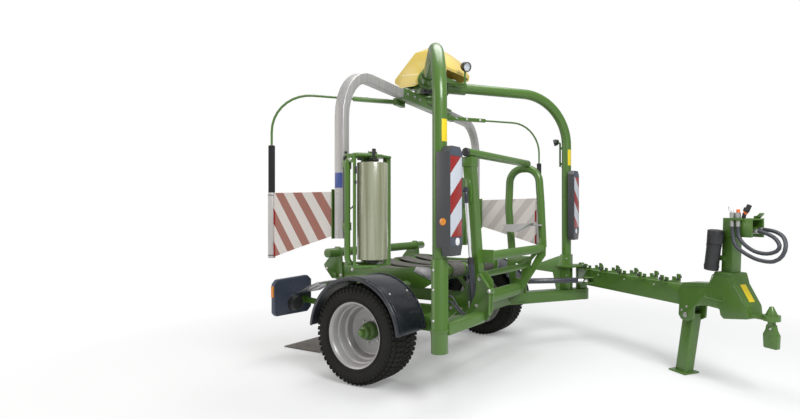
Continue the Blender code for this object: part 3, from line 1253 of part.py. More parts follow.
def build_lights(carrier):
    """The rear light carriers, each with the round back of its lamp."""
    outer, inner = -1.07, -0.62
    panel = [(outer, 0.465), (outer + 0.03, 0.432), (inner - 0.05, 0.425), (inner, 0.47), (inner, 0.74),
             (inner - 0.05, 0.785), (outer + 0.04, 0.775), (outer, 0.735)]
    face = plate([panel], 0.05, "YZ", -0.985, corner=0.02)
    pod = rod((-0.961, LAMP_POD[0], LAMP_POD[1]), (-0.90, LAMP_POD[0], LAMP_POD[1]), 0.16, 20, 0.13)
    finish_pair("light_panel", both_sides(fuse([face, pod])), "blue_grey_plastic", carrier)


def light_bracket():
    """The arm on the chassis that carries a rear light panel, and the strut under the tread."""
    strut_top = TREAD_TOP - TREAD_WALL - GAP
    return [span_box((-0.9597, -0.76, 0.52), (-0.94, -0.69, 0.59)),
            bar((-0.948, -0.71, 0.55), (CHASSIS_REAR_X + 0.04, -0.69, 0.52), 0.035, 0.05),
            span_box((TREAD_RUN[1] + 0.012, TREAD_Y - 0.03, SIDE_BEAM_Z),
                     (TREAD_RUN[2], TREAD_Y + 0.03, strut_top))]


def build_warning_panels(carrier):
    """Dark housings on the gantry's legs, each with a board to the front."""
    front = 1.149
    back = LEG_X + GANTRY_TUBE / 2 + GAP
    inner, outer = 1.19, 1.36
    outline = [(inner + 0.02, 1.10), (outer - 0.02, 1.10), (outer, 1.16), (outer, 1.83), (outer - 0.03, 1.87),
               (inner + 0.03, 1.87), (inner, 1.83), (inner, 1.16)]
    body = plate([outline], front - back, "YZ", (front + back) / 2)
    wing = span_box((LEG_X + 0.012, outer - 0.008, 1.16), (back + 0.01, outer, 1.83))
    body = fuse([body, wing])
    finish_pair("warning_housing", both_sides(body), "black_plastic", carrier)
    board = span_box((front + GAP, inner + 0.012, 1.235), (front + 0.004, outer - 0.006, 1.80))
    finish_pair("warning_board", both_sides(board), "board_white", carrier)


def build_drop_mat(carrier):
    """The rubber mat behind the table, hanging from the chassis and lying on the ground."""
    wall = 0.010
    line = [(CHASSIS_REAR_X - GAP - 0.005, 0.55), (CHASSIS_REAR_X - 0.02, 0.25), (-0.82, wall / 2 + 0.002),
            (-1.38, wall / 2 + 0.002)]
    path = rounded([Vector((x, z, 0)) for x, z in line], 0.12, 5)
    mat = plate([strip_outline(path, wall)], 1.20, "XZ", 0.0)
    finish("drop_mat", mat, "belt_rubber", carrier)


def build_treads(carrier):
    """Ribbed plates that slope from the chassis to the light carriers."""
    rear, bend, front = TREAD_RUN
    low = TREAD_TOP - TREAD_WALL
    outline = [(rear, low - TREAD_FALL), (rear, TREAD_TOP - TREAD_FALL), (bend, TREAD_TOP),
               (front, TREAD_TOP), (front, low), (bend, low)]
    sheet = plate([outline], TREAD_WIDTH, "XZ", TREAD_Y)
    finish_pair("rear_tread", both_sides(sheet), "silver_paint", carrier)


def build_machine():
    """Everything, hung on the axes that it turns about."""
    machine = empty("machine", MACHINE_SHIFT)
    for side, name in ((-1, "right"), (1, "left")):
        wheel = empty("wheel_axis_" + name, (AXLE_X, side * WHEEL_Y, TYRE_RADIUS), machine)
        build_wheel(side, name, wheel)
    build_fenders(machine)
    build_chassis(machine)
    build_gantry(machine)
    build_cover(machine)
    build_warning_panels(machine)
    build_lights(machine)
    build_drop_mat(machine)
    build_treads(machine)

    satellite = empty("satellite_axis", (0, 0, 0), machine)
    build_satellite(satellite)
    build_rods(satellite)
    build_flags(satellite)
    build_dispensers(satellite)
    for name, turn in (("right", 0.0), ("left", 180.0)):
        place = Matrix.Rotation(math.radians(ARM_ANGLE + turn), 4, "Z") @ polar(ROLL_REACH, ROLL_ANGLE)
        roll = empty("roll_axis_" + name, place, machine)
        build_roll("film_roll_" + name, turn, roll)

    table = empty("table_axis", (TILT_X, 0, TILT_Z), machine)
    build_table(table)
    arm = empty("loading_arm_axis", (ARM_PIVOT_X, 0, ARM_PIVOT_Z), machine)
    build_loading_arm(arm)
    lift_base = empty("lift_cylinder_pin", (LIFT_PIN[0], LIFT_Y, LIFT_PIN[1]), machine)
    build_lift_cylinder(lift_base, lift_base)
    swing_base = empty("swing_cylinder_pin", (*SWING_BASE, SWING_Z), machine)
    build_swing_cylinder(swing_base, swing_base)
    drawbar = empty("drawbar_hinge", (HINGE_X, HINGE_Y, 0), machine, DRAWBAR_YAW)
    build_drawbar(drawbar)
    build_hoses(drawbar)
    build_stand(drawbar)


build_machine()
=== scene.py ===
import json
import math

import bpy
from mathutils import Matrix, Vector


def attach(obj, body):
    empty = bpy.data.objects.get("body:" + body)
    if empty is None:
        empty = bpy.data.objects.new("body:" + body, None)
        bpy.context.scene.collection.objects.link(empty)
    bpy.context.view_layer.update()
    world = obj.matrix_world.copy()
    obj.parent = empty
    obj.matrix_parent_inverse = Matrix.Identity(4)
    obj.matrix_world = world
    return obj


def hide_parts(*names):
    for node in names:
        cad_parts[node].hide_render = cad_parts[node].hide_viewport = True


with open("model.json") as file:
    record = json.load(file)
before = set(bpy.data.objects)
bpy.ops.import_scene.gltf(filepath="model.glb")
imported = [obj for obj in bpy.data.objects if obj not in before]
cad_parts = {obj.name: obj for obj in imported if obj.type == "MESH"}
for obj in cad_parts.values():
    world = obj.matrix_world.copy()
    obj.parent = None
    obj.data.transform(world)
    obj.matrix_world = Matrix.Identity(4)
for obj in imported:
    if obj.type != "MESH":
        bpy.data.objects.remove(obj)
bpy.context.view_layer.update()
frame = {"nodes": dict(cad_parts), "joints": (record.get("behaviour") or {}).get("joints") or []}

bl_info = {
    "name": "Bale wrapper dressing",
    "version": (1, 0, 0),
    "blender": (4, 5, 0),
    "location": "3D View > Sidebar > Bale wrapper",
    "description": "Dresses the solids of a towed bale wrapper with their fine shapes and finishes",
    "category": "Object",
}

JOINTS = {joint["name"]: joint for joint in frame["joints"]}

# The machine's own zero is on the ground under the satellite's axis
SHIFT_X = JOINTS["satellite_spin"]["pos_m"][0]
HINGE = Vector(JOINTS["drawbar_swing"]["pos_m"])
DRAWBAR_YAW = math.radians(-36.3)
ARM_ANGLE = math.radians(-80.2)
MIRROR_Y = Matrix.Diagonal((1.0, -1.0, 1.0, 1.0))
SHIFT = Matrix.Translation((SHIFT_X, 0.0, 0.0))
SIDES = ((-1, "right"), (1, "left"))


def at(x, y, z):
    """A point of the machine's own frame in the scene."""
    return Vector((x + SHIFT_X, y, z))


def on_drawbar():
    """The placing of the drawbar's own frame: along the beam, to its left and up."""
    return Matrix.Translation((HINGE.x, HINGE.y, 0.0)) @ Matrix.Rotation(DRAWBAR_YAW, 4, "Z")


def on_arm(half_turns=0):
    """The placing of a satellite arm's own frame: outwards, beside it and up."""
    return SHIFT @ Matrix.Rotation(ARM_ANGLE + math.pi * half_turns, 4, "Z")


def polar(reach, angle, z=0.0):
    """A point of an arm's own frame from its distance to the axis and its angle in degrees."""
    turn = math.radians(angle)
    return Vector((reach * math.cos(turn), reach * math.sin(turn), z))


def aimed(direction):
    """The turn that points the up axis along a direction."""
    return Vector(direction).to_track_quat("Z", "Y").to_matrix().to_4x4()


def heading(x, y):
    """The turn in degrees that points a box's length along a level direction."""
    return (0.0, 0.0, math.degrees(math.atan2(y, x)))


# Modelling helpers

def only(*pieces):
    """Selects these objects and nothing else."""
    bpy.ops.object.select_all(action="DESELECT")
    for piece in pieces:
        piece.select_set(True)
    bpy.context.view_layer.objects.active = pieces[0]


def work_in(piece, kind, **settings):
    """Adds a modifier with these settings and applies it."""
    only(piece)
    step = piece.modifiers.new("step", kind)
    for key, value in settings.items():
        setattr(step, key, value)
    bpy.ops.object.modifier_apply(modifier=step.name)
    return piece


def place_in_mesh(piece):
    """Moves the object's placing into its mesh."""
    only(piece)
    bpy.ops.object.transform_apply(location=True, rotation=True, scale=True)
    return piece


def clean(piece, flat_angle=0.0):
    """Welds doubles, joins flat triangles and turns the faces out."""
    only(piece)
    bpy.ops.object.mode_set(mode="EDIT")
    bpy.ops.mesh.select_all(action="SELECT")
    bpy.ops.mesh.remove_doubles(threshold=0.00005)
    if flat_angle:
        bpy.ops.mesh.dissolve_limited(angle_limit=flat_angle)
    bpy.ops.mesh.normals_make_consistent(inside=False)
    bpy.ops.object.mode_set(mode="OBJECT")
    return piece


def soften(piece, width, segments=2, angle=30.0):
    """Rounds the edges that are sharper than the angle."""
    return work_in(piece, "BEVEL", width=width, segments=segments, limit_method="ANGLE",
                   angle_limit=math.radians(angle), use_clamp_overlap=True, harden_normals=False)


def new_box(size, centre, turn=(0.0, 0.0, 0.0), bevel=0.0, segments=2):
    """A box with rounded edges; the turn is in degrees."""
    bpy.ops.object.select_all(action="DESELECT")
    angles = [math.radians(a) for a in turn]
    bpy.ops.mesh.primitive_cube_add(size=1.0, location=centre, rotation=angles, scale=size)
    piece = place_in_mesh(bpy.context.object)
    return soften(piece, bevel, segments) if bevel else piece


def new_span(low, high, bevel=0.0):
    """A box between two corners."""
    low, high = Vector(low), Vector(high)
    return new_box(high - low, (low + high) / 2, bevel=bevel)


def new_rod(start, end, radius, sides=24, bevel=0.0):
    """A round or many-sided bar between two points."""
    start, end = Vector(start), Vector(end)
    run = end - start
    bpy.ops.object.select_all(action="DESELECT")
    turn = run.to_track_quat("Z", "Y").to_euler()
    bpy.ops.mesh.primitive_cylinder_add(vertices=sides, radius=radius, depth=run.length,
                                        location=(start + end) / 2, rotation=turn)
    piece = place_in_mesh(bpy.context.object)
    return soften(piece, bevel, 2, 50.0) if bevel else piece


def rounded(points, radius, steps=8, closed=False):
    """A line's points with each corner turned into an arc of that radius."""
    line = [Vector(p) for p in points]
    count = len(line)
    result = []
    for index, corner in enumerate(line):
        if not closed and index in (0, count - 1):
            result.append(corner)
            continue
        back = line[index - 1] - corner
        ahead = line[(index + 1) % count] - corner
        angle = back.angle(ahead)
        reach = min(radius / math.tan(angle / 2), 0.49 * back.length, 0.49 * ahead.length)
        bend = reach * math.tan(angle / 2)
        middle = (back.normalized() + ahead.normalized()).normalized()
        centre = corner + middle * (bend / math.sin(angle / 2))
        first = corner + back.normalized() * reach - centre
        last = corner + ahead.normalized() * reach - centre
        sweep = first.angle(last)
        for step in range(steps + 1):
            share = step / steps
            near = math.sin((1 - share) * sweep) / math.sin(sweep)
            far = math.sin(share * sweep) / math.sin(sweep)
            result.append(centre + first * near + last * far)
    return result


def new_line(points, closed=False, flat=False):
    """A curve object whose one spline runs through the points."""
    bpy.ops.object.select_all(action="DESELECT")
    bpy.ops.curve.primitive_bezier_curve_add(location=(0, 0, 0))
    piece = bpy.context.object
    piece.data.splines.clear()
    piece.data.dimensions = "2D" if flat else "3D"
    spline = piece.data.splines.new("POLY")
    spline.points.add(len(points) - 1)
    for point, place in zip(spline.points, points):
        point.co = (*place, 1.0)
    spline.use_cyclic_u = closed
    return piece


def as_mesh(piece):
    """The curve turned into a mesh."""
    only(piece)
    bpy.ops.object.convert(target="MESH")
    return bpy.context.object


def new_tube(points, radius, bend=0.0, steps=12, sides=24, closed=False):
    """A bent round tube with filled ends."""
    path = rounded(points, bend, steps, closed) if bend else [Vector(p) for p in points]
    piece = new_line(path, closed)
    piece.data.bevel_depth = radius
    piece.data.bevel_resolution = (sides - 4) // 2
    piece.data.use_fill_caps = not closed
    return clean(as_mesh(piece))


def new_turned(profile, centre, direction, steps=48):
    """A turned piece from (radius, height) points."""
    closed = bool(profile[0][0] or profile[-1][0])
    piece = as_mesh(new_line([(radius, 0.0, height) for radius, height in profile], closed))
    work_in(piece, "SCREW", steps=steps, render_steps=steps, use_merge_vertices=True, merge_threshold=0.00005)
    piece.data.transform(Matrix.Translation(centre) @ aimed(direction))
    return clean(piece)


PLANES = {
    "XY": Matrix.Identity(4),
    "XZ": Matrix(((1, 0, 0, 0), (0, 0, -1, 0), (0, 1, 0, 0), (0, 0, 0, 1))),
    "YZ": Matrix(((0, 0, 1, 0), (1, 0, 0, 0), (0, 1, 0, 0), (0, 0, 0, 1))),
}


def new_plate(outline, thickness, plane, offset, bevel=0.0):
    """A flat piece of that outline and thickness, at an offset off its plane."""
    piece = new_line([(x, y, 0.0) for x, y in outline], True, True)
    piece.data.fill_mode = "BOTH"
    piece.data.extrude = thickness / 2
    piece = clean(as_mesh(piece), 0.02)
    shift = {"XY": (0, 0, offset), "XZ": (0, offset, 0), "YZ": (offset, 0, 0)}[plane]
    piece.data.transform(Matrix.Translation(shift) @ PLANES[plane])
    clean(piece)
    return soften(piece, bevel, 2, 50.0) if bevel else piece


def moved(piece, matrix):
    """The piece after a placing."""
    piece.data.transform(matrix)
    if matrix.determinant() < 0:
        piece.data.flip_normals()
    return piece


def copy_of(piece, matrix):
    """A second piece with its own mesh, placed anew."""
    twin = bpy.data.objects.new("copy", piece.data.copy())
    bpy.context.scene.collection.objects.link(twin)
    return moved(twin, matrix)


def joined(pieces):
    """One object from several."""
    only(*pieces)
    if len(pieces) > 1:
        bpy.ops.object.join()
    return bpy.context.view_layer.objects.active


def cut_by(piece, cutter):
    """The piece less the cutter."""
    work_in(piece, "BOOLEAN", operation="DIFFERENCE", solver="EXACT", object=cutter)
    bpy.data.objects.remove(cutter)
    return piece


def from_node(node, bevel=0.002, segments=2, angle=28.0):
    """A copy of a CAD node with its flats joined and its edges rounded."""
    source = frame["nodes"][node]
    piece = bpy.data.objects.new("copy", source.data.copy())
    bpy.context.scene.collection.objects.link(piece)
    piece.data.materials.clear()
    clean(piece, 0.01)
    return soften(piece, bevel, segments, angle) if bevel else piece


def put(piece, name, look, body, replaces=(), smooth=32.0):
    """Names a finished piece, gives it its material and sets it on the body that carries it."""
    piece.name = name
    piece.data.name = name
    piece.data.materials.clear()
    piece.data.materials.append(look)
    only(piece)
    bpy.ops.object.shade_smooth_by_angle(angle=math.radians(smooth))
    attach(piece, body)
    if replaces:
        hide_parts(*replaces)
    return piece


def trim(pieces, name, look, body, placing=SHIFT, smooth=32.0):
    """Small parts modelled in the machine's, an arm's or the drawbar's frame, joined and set in the scene."""
    return put(moved(joined(pieces), placing), name, look, body, (), smooth)


def dress_nodes(rows):
    """Rounded copies of CAD nodes; each row is node, finish, body, slot and rounding."""
    for name, look, body, slot, bevel in rows:
        put(from_node(name, bevel), name + "_body", look, body, [name])


def both_sides(piece):
    """The piece and its mirror image across the machine."""
    return [piece, copy_of(piece, MIRROR_Y)]


def flowing(points, step):
    """A smooth line through the points, with a point about every step of its length."""
    line = [Vector(p) for p in points]
    ends = [2 * line[0] - line[1]] + line + [2 * line[-1] - line[-2]]
    result = [line[0]]
    for before, first, last, after in zip(ends, ends[1:], ends[2:], ends[3:]):
        count = max(1, round((last - first).length / step))
        for number in range(1, count + 1):
            t = number / count
            bend = 2 * before - 5 * first + 4 * last - after
            twist = 3 * first - before - 3 * last + after
            result.append((2 * first + (last - before) * t + bend * t ** 2 + twist * t ** 3) / 2)
    return result


# Finishes

def add_sockets(group, inputs, outputs):
    """Declares a node group's sockets; inputs are (name, kind, default)."""
    for name, kind, default in inputs:
        socket = group.interface.new_socket(name=name, in_out="INPUT", socket_type=kind)
        socket.default_value = default
    for name, kind in outputs:
        group.interface.new_socket(name=name, in_out="OUTPUT", socket_type=kind)


def node(tree, kind, **settings):
    """A shader node with these settings."""
    made = tree.nodes.new(kind)
    for key, value in settings.items():
        setattr(made, key, value)
    return made


def feed(tree, socket, value):
    """Gives a node's input a link or a plain value."""
    if isinstance(value, bpy.types.NodeSocket):
        tree.links.new(value, socket)
    else:
        socket.default_value = value


def noise(tree, source, scale, detail):
    """A noise texture on the source coordinates; returns its value."""
    made = node(tree, "ShaderNodeTexNoise")
    for key, value in (("Vector", source), ("Scale", scale), ("Detail", detail), ("Roughness", 0.55)):
        feed(tree, made.inputs[key], value)
    return made.outputs["Fac"]


def ramp(tree, source, low, high, to_low=0.0, to_high=1.0):
    """The source mapped from one range to another."""
    made = node(tree, "ShaderNodeMapRange")
    for name, value in (("From Min", low), ("From Max", high), ("To Min", to_low), ("To Max", to_high)):
        made.inputs[name].default_value = value
    tree.links.new(source, made.inputs["Value"])
    return made.outputs["Result"]


def mix_colour(tree, share, first, second, blend="MIX"):
    """Two colours mixed by a share; each may be a socket or a value."""
    made = node(tree, "ShaderNodeMix", data_type="RGBA", blend_type=blend)
    for slot, value in ((0, share), (6, first), (7, second)):
        feed(tree, made.inputs[slot], value)
    return made.outputs[2]


def calc(tree, operation, first, second=0.0, clamp=False):
    """A math node on sockets or values."""
    made = node(tree, "ShaderNodeMath", operation=operation, use_clamp=clamp)
    feed(tree, made.inputs[0], first)
    feed(tree, made.inputs[1], second)
    return made.outputs[0]


def rgba(colour):
    """A colour with full alpha."""
    return (*colour, 1.0)


def weathered_group():
    """Colour and roughness that vary over a surface, with settled dust on what faces up."""
    name = "weathered"
    if name in bpy.data.node_groups:
        return bpy.data.node_groups[name]
    group = bpy.data.node_groups.new(name, "ShaderNodeTree")
    add_sockets(group,
                [("Colour", "NodeSocketColor", (0.5, 0.5, 0.5, 1.0)),
                 ("Dust Colour", "NodeSocketColor", (0.45, 0.42, 0.36, 1.0)),
                 ("Dust", "NodeSocketFloat", 0.1), ("Variation", "NodeSocketFloat", 0.12),
                 ("Roughness", "NodeSocketFloat", 0.4), ("Grain", "NodeSocketFloat", 220.0)],
                [("Colour", "NodeSocketColor"), ("Roughness", "NodeSocketFloat"),
                 ("Height", "NodeSocketFloat")])
    given = node(group, "NodeGroupInput").outputs
    out = node(group, "NodeGroupOutput")
    place = node(group, "ShaderNodeTexCoord").outputs["Object"]
    broad = noise(group, place, 2.3, 5.0)
    fine = noise(group, place, 38.0, 6.0)
    darker = mix_colour(group, ramp(group, broad, 0.35, 0.68), given["Colour"], (0.75, 0.75, 0.75, 1.0),
                        "MULTIPLY")
    varied = mix_colour(group, given["Variation"], given["Colour"], darker)
    normal = node(group, "ShaderNodeSeparateXYZ")
    feed(group, normal.inputs[0], node(group, "ShaderNodeNewGeometry").outputs["Normal"])
    up = ramp(group, normal.outputs["Z"], 0.2, 1.0)
    speck = ramp(group, fine, 0.42, 0.66)
    settled = calc(group, "MULTIPLY", calc(group, "MULTIPLY", up, speck), given["Dust"], True)
    feed(group, out.inputs["Colour"], mix_colour(group, settled, varied, given["Dust Colour"]))
    rough = calc(group, "ADD", given["Roughness"], ramp(group, broad, 0.3, 0.7, -0.06, 0.08))
    dull = calc(group, "ADD", rough, calc(group, "MULTIPLY", settled, 0.5), True)
    feed(group, out.inputs["Roughness"], dull)
    grain = node(group, "ShaderNodeTexNoise")
    for key, value in (("Vector", place), ("Scale", given["Grain"]), ("Detail", 3.0)):
        feed(group, grain.inputs[key], value)
    feed(group, out.inputs["Height"], grain.outputs["Fac"])
    return group


def finish_for(name, colour, roughness, metallic=0.0, coat=0.0, bump=0.15, grain=220.0, dust=0.1,
               variation=0.5, specular=0.5):
    """A material of one colour with the weathered group's variation, and a fine bump."""
    if name in bpy.data.materials:
        return bpy.data.materials[name]
    made = bpy.data.materials.new(name)
    made.use_nodes = True
    tree = made.node_tree
    worn = node(tree, "ShaderNodeGroup", node_tree=weathered_group())
    for key, value in (("Colour", rgba(colour)), ("Roughness", roughness), ("Dust", dust),
                       ("Variation", variation), ("Grain", grain)):
        feed(tree, worn.inputs[key], value)
    relief = node(tree, "ShaderNodeBump")
    for key, value in (("Strength", bump), ("Distance", 0.001), ("Height", worn.outputs["Height"])):
        feed(tree, relief.inputs[key], value)
    shader = tree.nodes["Principled BSDF"]
    for key, value in (("Base Color", worn.outputs["Colour"]), ("Roughness", worn.outputs["Roughness"]),
                       ("Metallic", metallic), ("Coat Weight", coat), ("Coat Roughness", 0.12),
                       ("Specular IOR Level", specular), ("Normal", relief.outputs["Normal"])):
        feed(tree, shader.inputs[key], value)
    return made


def colour_input(made):
    """Where a finish takes its colour."""
    worn = next(item for item in made.node_tree.nodes if item.bl_idname == "ShaderNodeGroup")
    return worn.inputs["Colour"]


def green():
    return finish_for("green_enamel", settings().green, 0.34, coat=0.28, bump=0.05, grain=90.0, dust=0.05)


def blue_plastic():
    return finish_for("frame_blue_black", (0.060, 0.072, 0.100), 0.40, bump=0.12, grain=480.0, dust=0.05)


def yellow():
    return finish_for("hood_yellow", settings().yellow, 0.32, coat=0.3, bump=0.05, grain=120.0,
                      variation=0.25)


def black():
    return finish_for("black_moulded", (0.020, 0.020, 0.022), 0.42, bump=0.2, grain=420.0, dust=0.05)


def cylinder_black():
    return finish_for("barrel_enamel", (0.030, 0.034, 0.046), 0.30, bump=0.05, grain=120.0, coat=0.3,
                      dust=0.06)


def foam():
    return finish_for("foam_sleeve", (0.024, 0.024, 0.025), 0.85, bump=0.6, grain=520.0, dust=0.05,
                      specular=0.2)


def hose_look():
    return finish_for("hose_cover", (0.042, 0.046, 0.056), 0.48, bump=0.25, grain=700.0, dust=0.10)


def label_yellow():
    return finish_for("label_yellow", (0.74, 0.57, 0.015), 0.40, bump=0.02, dust=0.02, variation=0.1)


def label_blue():
    return finish_for("label_blue", (0.045, 0.075, 0.26), 0.35, bump=0.02, dust=0.02, variation=0.1)


def white_plastic():
    return finish_for("white_plastic", (0.72, 0.73, 0.74), 0.35, bump=0.04, dust=0.04, variation=0.2)


def orange_plastic():
    return finish_for("orange_cap", (0.78, 0.16, 0.03), 0.35, bump=0.04, dust=0.04, variation=0.2)


def lens():
    return finish_for("lamp_glass", (0.62, 0.66, 0.72), 0.08, metallic=0.6, bump=0.5, grain=260.0, coat=0.8,
                      dust=0.0, variation=0.3)


def steel():
    return finish_for("zinc_steel", (0.55, 0.55, 0.53), 0.38, metallic=0.9, bump=0.1, grain=300.0,
                      variation=0.8)


def chrome():
    return finish_for("chromed_rod", (0.80, 0.80, 0.82), 0.10, metallic=1.0, bump=0.02, dust=0.02,
                      variation=0.2)


def silver():
    return finish_for("rim_silver", (0.40, 0.39, 0.385), 0.36, metallic=0.25, coat=0.2, bump=0.06, dust=0.15)


def streaked(name, base, other, stretch, scale, share, roughness, **extra):
    """A finish whose colour runs in streaks; stretch scales the object's axes, share is their strength."""
    if name in bpy.data.materials:
        return bpy.data.materials[name]
    made = finish_for(name, base, roughness, **extra)
    tree = made.node_tree
    place = node(tree, "ShaderNodeVectorMath", operation="MULTIPLY")
    feed(tree, place.inputs[0], node(tree, "ShaderNodeTexCoord").outputs["Object"])
    feed(tree, place.inputs[1], stretch)
    lines = ramp(tree, noise(tree, place.outputs[0], scale, 3.0), 0.38, 0.62, 0.0, share)
    feed(tree, colour_input(made), mix_colour(tree, lines, rgba(base), rgba(other)))
    return made


def aluminium():
    """Mill-finished profile with fine lines along it."""
    return streaked("aluminium_profile", settings().aluminium, (0.36, 0.345, 0.335),
                    stretch=(1.0, 1.0, 0.03), scale=60.0, share=0.6, roughness=0.42, metallic=0.45,
                    bump=0.05, dust=0.04)


def sleeve_grey():
    """Pale plastic of the rods' tubes."""
    return streaked("sleeve_grey", (0.50, 0.48, 0.46), (0.40, 0.39, 0.38), stretch=(1.0, 1.0, 0.05),
                    scale=50.0, share=0.6, roughness=0.40, bump=0.05, dust=0.03)


def galvanised():
    """Zinc-coated sheet with its spangle."""
    return streaked("zinc_sheet", (0.56, 0.56, 0.58), (0.36, 0.36, 0.38), stretch=(1.0, 1.0, 1.0),
                    scale=34.0, share=0.7, roughness=0.36, metallic=0.7, bump=0.08, dust=0.12)


def rubber():
    return finish_for("tread_rubber", (0.0205, 0.0200, 0.0180), 0.72, bump=0.30, grain=260.0, dust=0.05,
                      variation=0.8, specular=0.13)


def belt():
    """Woven rubber belt with rubbed streaks along it."""
    return streaked("belt_weave", (0.150, 0.140, 0.130), (0.085, 0.080, 0.074), stretch=(0.10, 1.0, 1.0),
                    scale=44.0, share=0.8, roughness=0.72, bump=0.5, grain=480.0, dust=0.2, variation=0.6,
                    specular=0.3)


def housing():
    return finish_for("housing_plastic", (0.050, 0.052, 0.056), 0.42, bump=0.15, grain=500.0, dust=0.08)


def panel_plastic():
    return finish_for("panel_blue_black", (0.052, 0.064, 0.100), 0.40, bump=0.10, grain=480.0, dust=0.06)


def fender_plastic():
    return finish_for("fender_plastic", (0.013, 0.016, 0.024), 0.27, bump=0.02, grain=300.0, dust=0.015,
                      coat=0.3, variation=0.25)


def amber():
    return finish_for("amber_reflector", (0.74, 0.25, 0.010), 0.16, bump=0.3, grain=700.0, dust=0.0, coat=0.6)


def red():
    return finish_for("red_reflector", (0.55, 0.02, 0.015), 0.18, bump=0.3, grain=700.0, dust=0.02, coat=0.6)


def film():
    """Wound stretch film with a soft gloss, and faint paler streaks along the roll that are painted
    highlights of reflected light.
    """
    # The paler second colour paints streaks of reflected light along the roll
    return streaked("stretch_film_painted_highlight_streaks", settings().film, (0.40, 0.415, 0.30), stretch=(1.0, 1.0, 0.02),
                    scale=34.0, share=0.65, roughness=0.24, bump=0.04, grain=60.0, coat=0.5, dust=0.0,
                    variation=0.2)


# Pale yellow painted as the highlight along the hood's fold
def fold_highlight_yellow():
    return finish_for("hood_fold_painted_highlight", (0.88, 0.80, 0.52), 0.35, bump=0.04, dust=0.0)


def board_stripes(side, name):
    """Reflecting film of a warning board, whose stripes fall towards the middle of the machine."""
    return striped("board_film_" + name, (0.50, 0.53, 0.58), (0.265, 0.010, 0.008), across=(0, 1, 0),
                   pitch=0.289, slant=side * 0.9, start=-0.003, share=0.467, roughness=0.25, bump=0.25,
                   grain=900.0, dust=0.03, variation=0.1)


def mesh_stripes(name, base, stripe, share, level, start):
    """Stripes of a mesh flag or its hem, along the flag's own level direction."""
    return striped(name, base, stripe, level, STRIPE_PITCH, STRIPE_SLANT, start, share, roughness=0.85,
                   bump=0.5, grain=900.0, dust=0.0, variation=0.2, specular=0.2)


def stripes_group():
    """A mask of slanting stripes, with their pitch, slant, start and the share that is filled."""
    name = "slanting_stripes"
    if name in bpy.data.node_groups:
        return bpy.data.node_groups[name]
    group = bpy.data.node_groups.new(name, "ShaderNodeTree")
    defaults = (("Across", 0.0), ("Up", 0.0), ("Pitch", 0.2), ("Slant", 1.0), ("Start", 0.0), ("Share", 0.5))
    add_sockets(group, [(key, "NodeSocketFloat", value) for key, value in defaults],
                [("Mask", "NodeSocketFloat")])
    given = node(group, "NodeGroupInput").outputs
    out = node(group, "NodeGroupOutput")
    run = calc(group, "MULTIPLY", given["Across"], given["Slant"])
    line = calc(group, "ADD", calc(group, "ADD", given["Up"], run), given["Start"])
    part = calc(group, "FRACT", calc(group, "DIVIDE", line, given["Pitch"]))
    past = calc(group, "SUBTRACT", part, given["Share"])
    feed(group, out.inputs["Mask"], ramp(group, past, -0.01, 0.01, 1.0, 0.0))
    return group


def striped(name, base, stripe, across, pitch, slant, start, share, roughness, **extra):
    """A finish with slanting stripes; across is the direction that runs level over the surface."""
    if name in bpy.data.materials:
        return bpy.data.materials[name]
    made = finish_for(name, base, roughness, **extra)
    tree = made.node_tree
    place = node(tree, "ShaderNodeTexCoord").outputs["Object"]
    level = node(tree, "ShaderNodeVectorMath", operation="DOT_PRODUCT")
    feed(tree, level.inputs[0], place)
    feed(tree, level.inputs[1], across)
    height = node(tree, "ShaderNodeSeparateXYZ")
    feed(tree, height.inputs[0], place)
    lines = node(tree, "ShaderNodeGroup", node_tree=stripes_group())
    for key, value in (("Across", level.outputs["Value"]), ("Up", height.outputs["Z"]), ("Pitch", pitch),
                       ("Slant", slant), ("Start", start), ("Share", share)):
        feed(tree, lines.inputs[key], value)
    feed(tree, colour_input(made), mix_colour(tree, lines.outputs["Mask"], rgba(base), rgba(stripe)))
    return made


# Sizes and colours that a user may change

class WrapperSettings(bpy.types.PropertyGroup):
    green: bpy.props.FloatVectorProperty(name="Green", description="Enamel of the frame", subtype="COLOR",
                                         default=(0.065, 0.152, 0.018), min=0.0, max=1.0)
    yellow: bpy.props.FloatVectorProperty(name="Yellow", description="Paint of the hood", subtype="COLOR",
                                          default=(0.70, 0.525, 0.112), min=0.0, max=1.0)
    aluminium: bpy.props.FloatVectorProperty(name="Aluminium", description="Profile of the satellite's arms",
                                             subtype="COLOR", default=(0.50, 0.49, 0.475), min=0.0, max=1.0)
    film: bpy.props.FloatVectorProperty(name="Film", description="Stretch film on the rolls", subtype="COLOR",
                                        default=(0.205, 0.212, 0.128), min=0.0, max=1.0)
    lug_height: bpy.props.FloatProperty(name="Tread height", description="Height of the tyre's blocks",
                                        default=0.010, min=0.004, max=0.02, unit="LENGTH")
    edge: bpy.props.FloatProperty(name="Edge rounding", description="Rounding of sawn and folded steel edges",
                                  default=0.0025, min=0.0005, max=0.006, unit="LENGTH")


def settings():
    """The scene's sizes and colours."""
    return bpy.context.scene.bale_wrapper


# Wheels

TYRE_RADIUS = 0.41
TYRE_HALF = 0.17
RIM_SEAT = 0.251
TREAD_COUNT = 56
STUD_CIRCLE = 0.105


def tyre_body(centre, out):
    """The tyre's carcass, with a bead groove and a rounded shoulder."""
    ground = TYRE_RADIUS - settings().lug_height
    side = TYRE_HALF
    half = [(RIM_SEAT, side - 0.040), (RIM_SEAT + 0.012, side - 0.024), (RIM_SEAT + 0.020, side - 0.014),
            (RIM_SEAT + 0.034, side - 0.010), (RIM_SEAT + 0.060, side - 0.001), (RIM_SEAT + 0.090, side),
            (ground - 0.045, side - 0.006), (ground - 0.022, side - 0.014), (ground - 0.004, side - 0.040),
            (ground, side - 0.070), (ground + 0.001, 0.0)]
    mirrored = [(radius, -height) for radius, height in reversed(half[:-1])]
    return new_turned(half + mirrored, centre, out, 96)


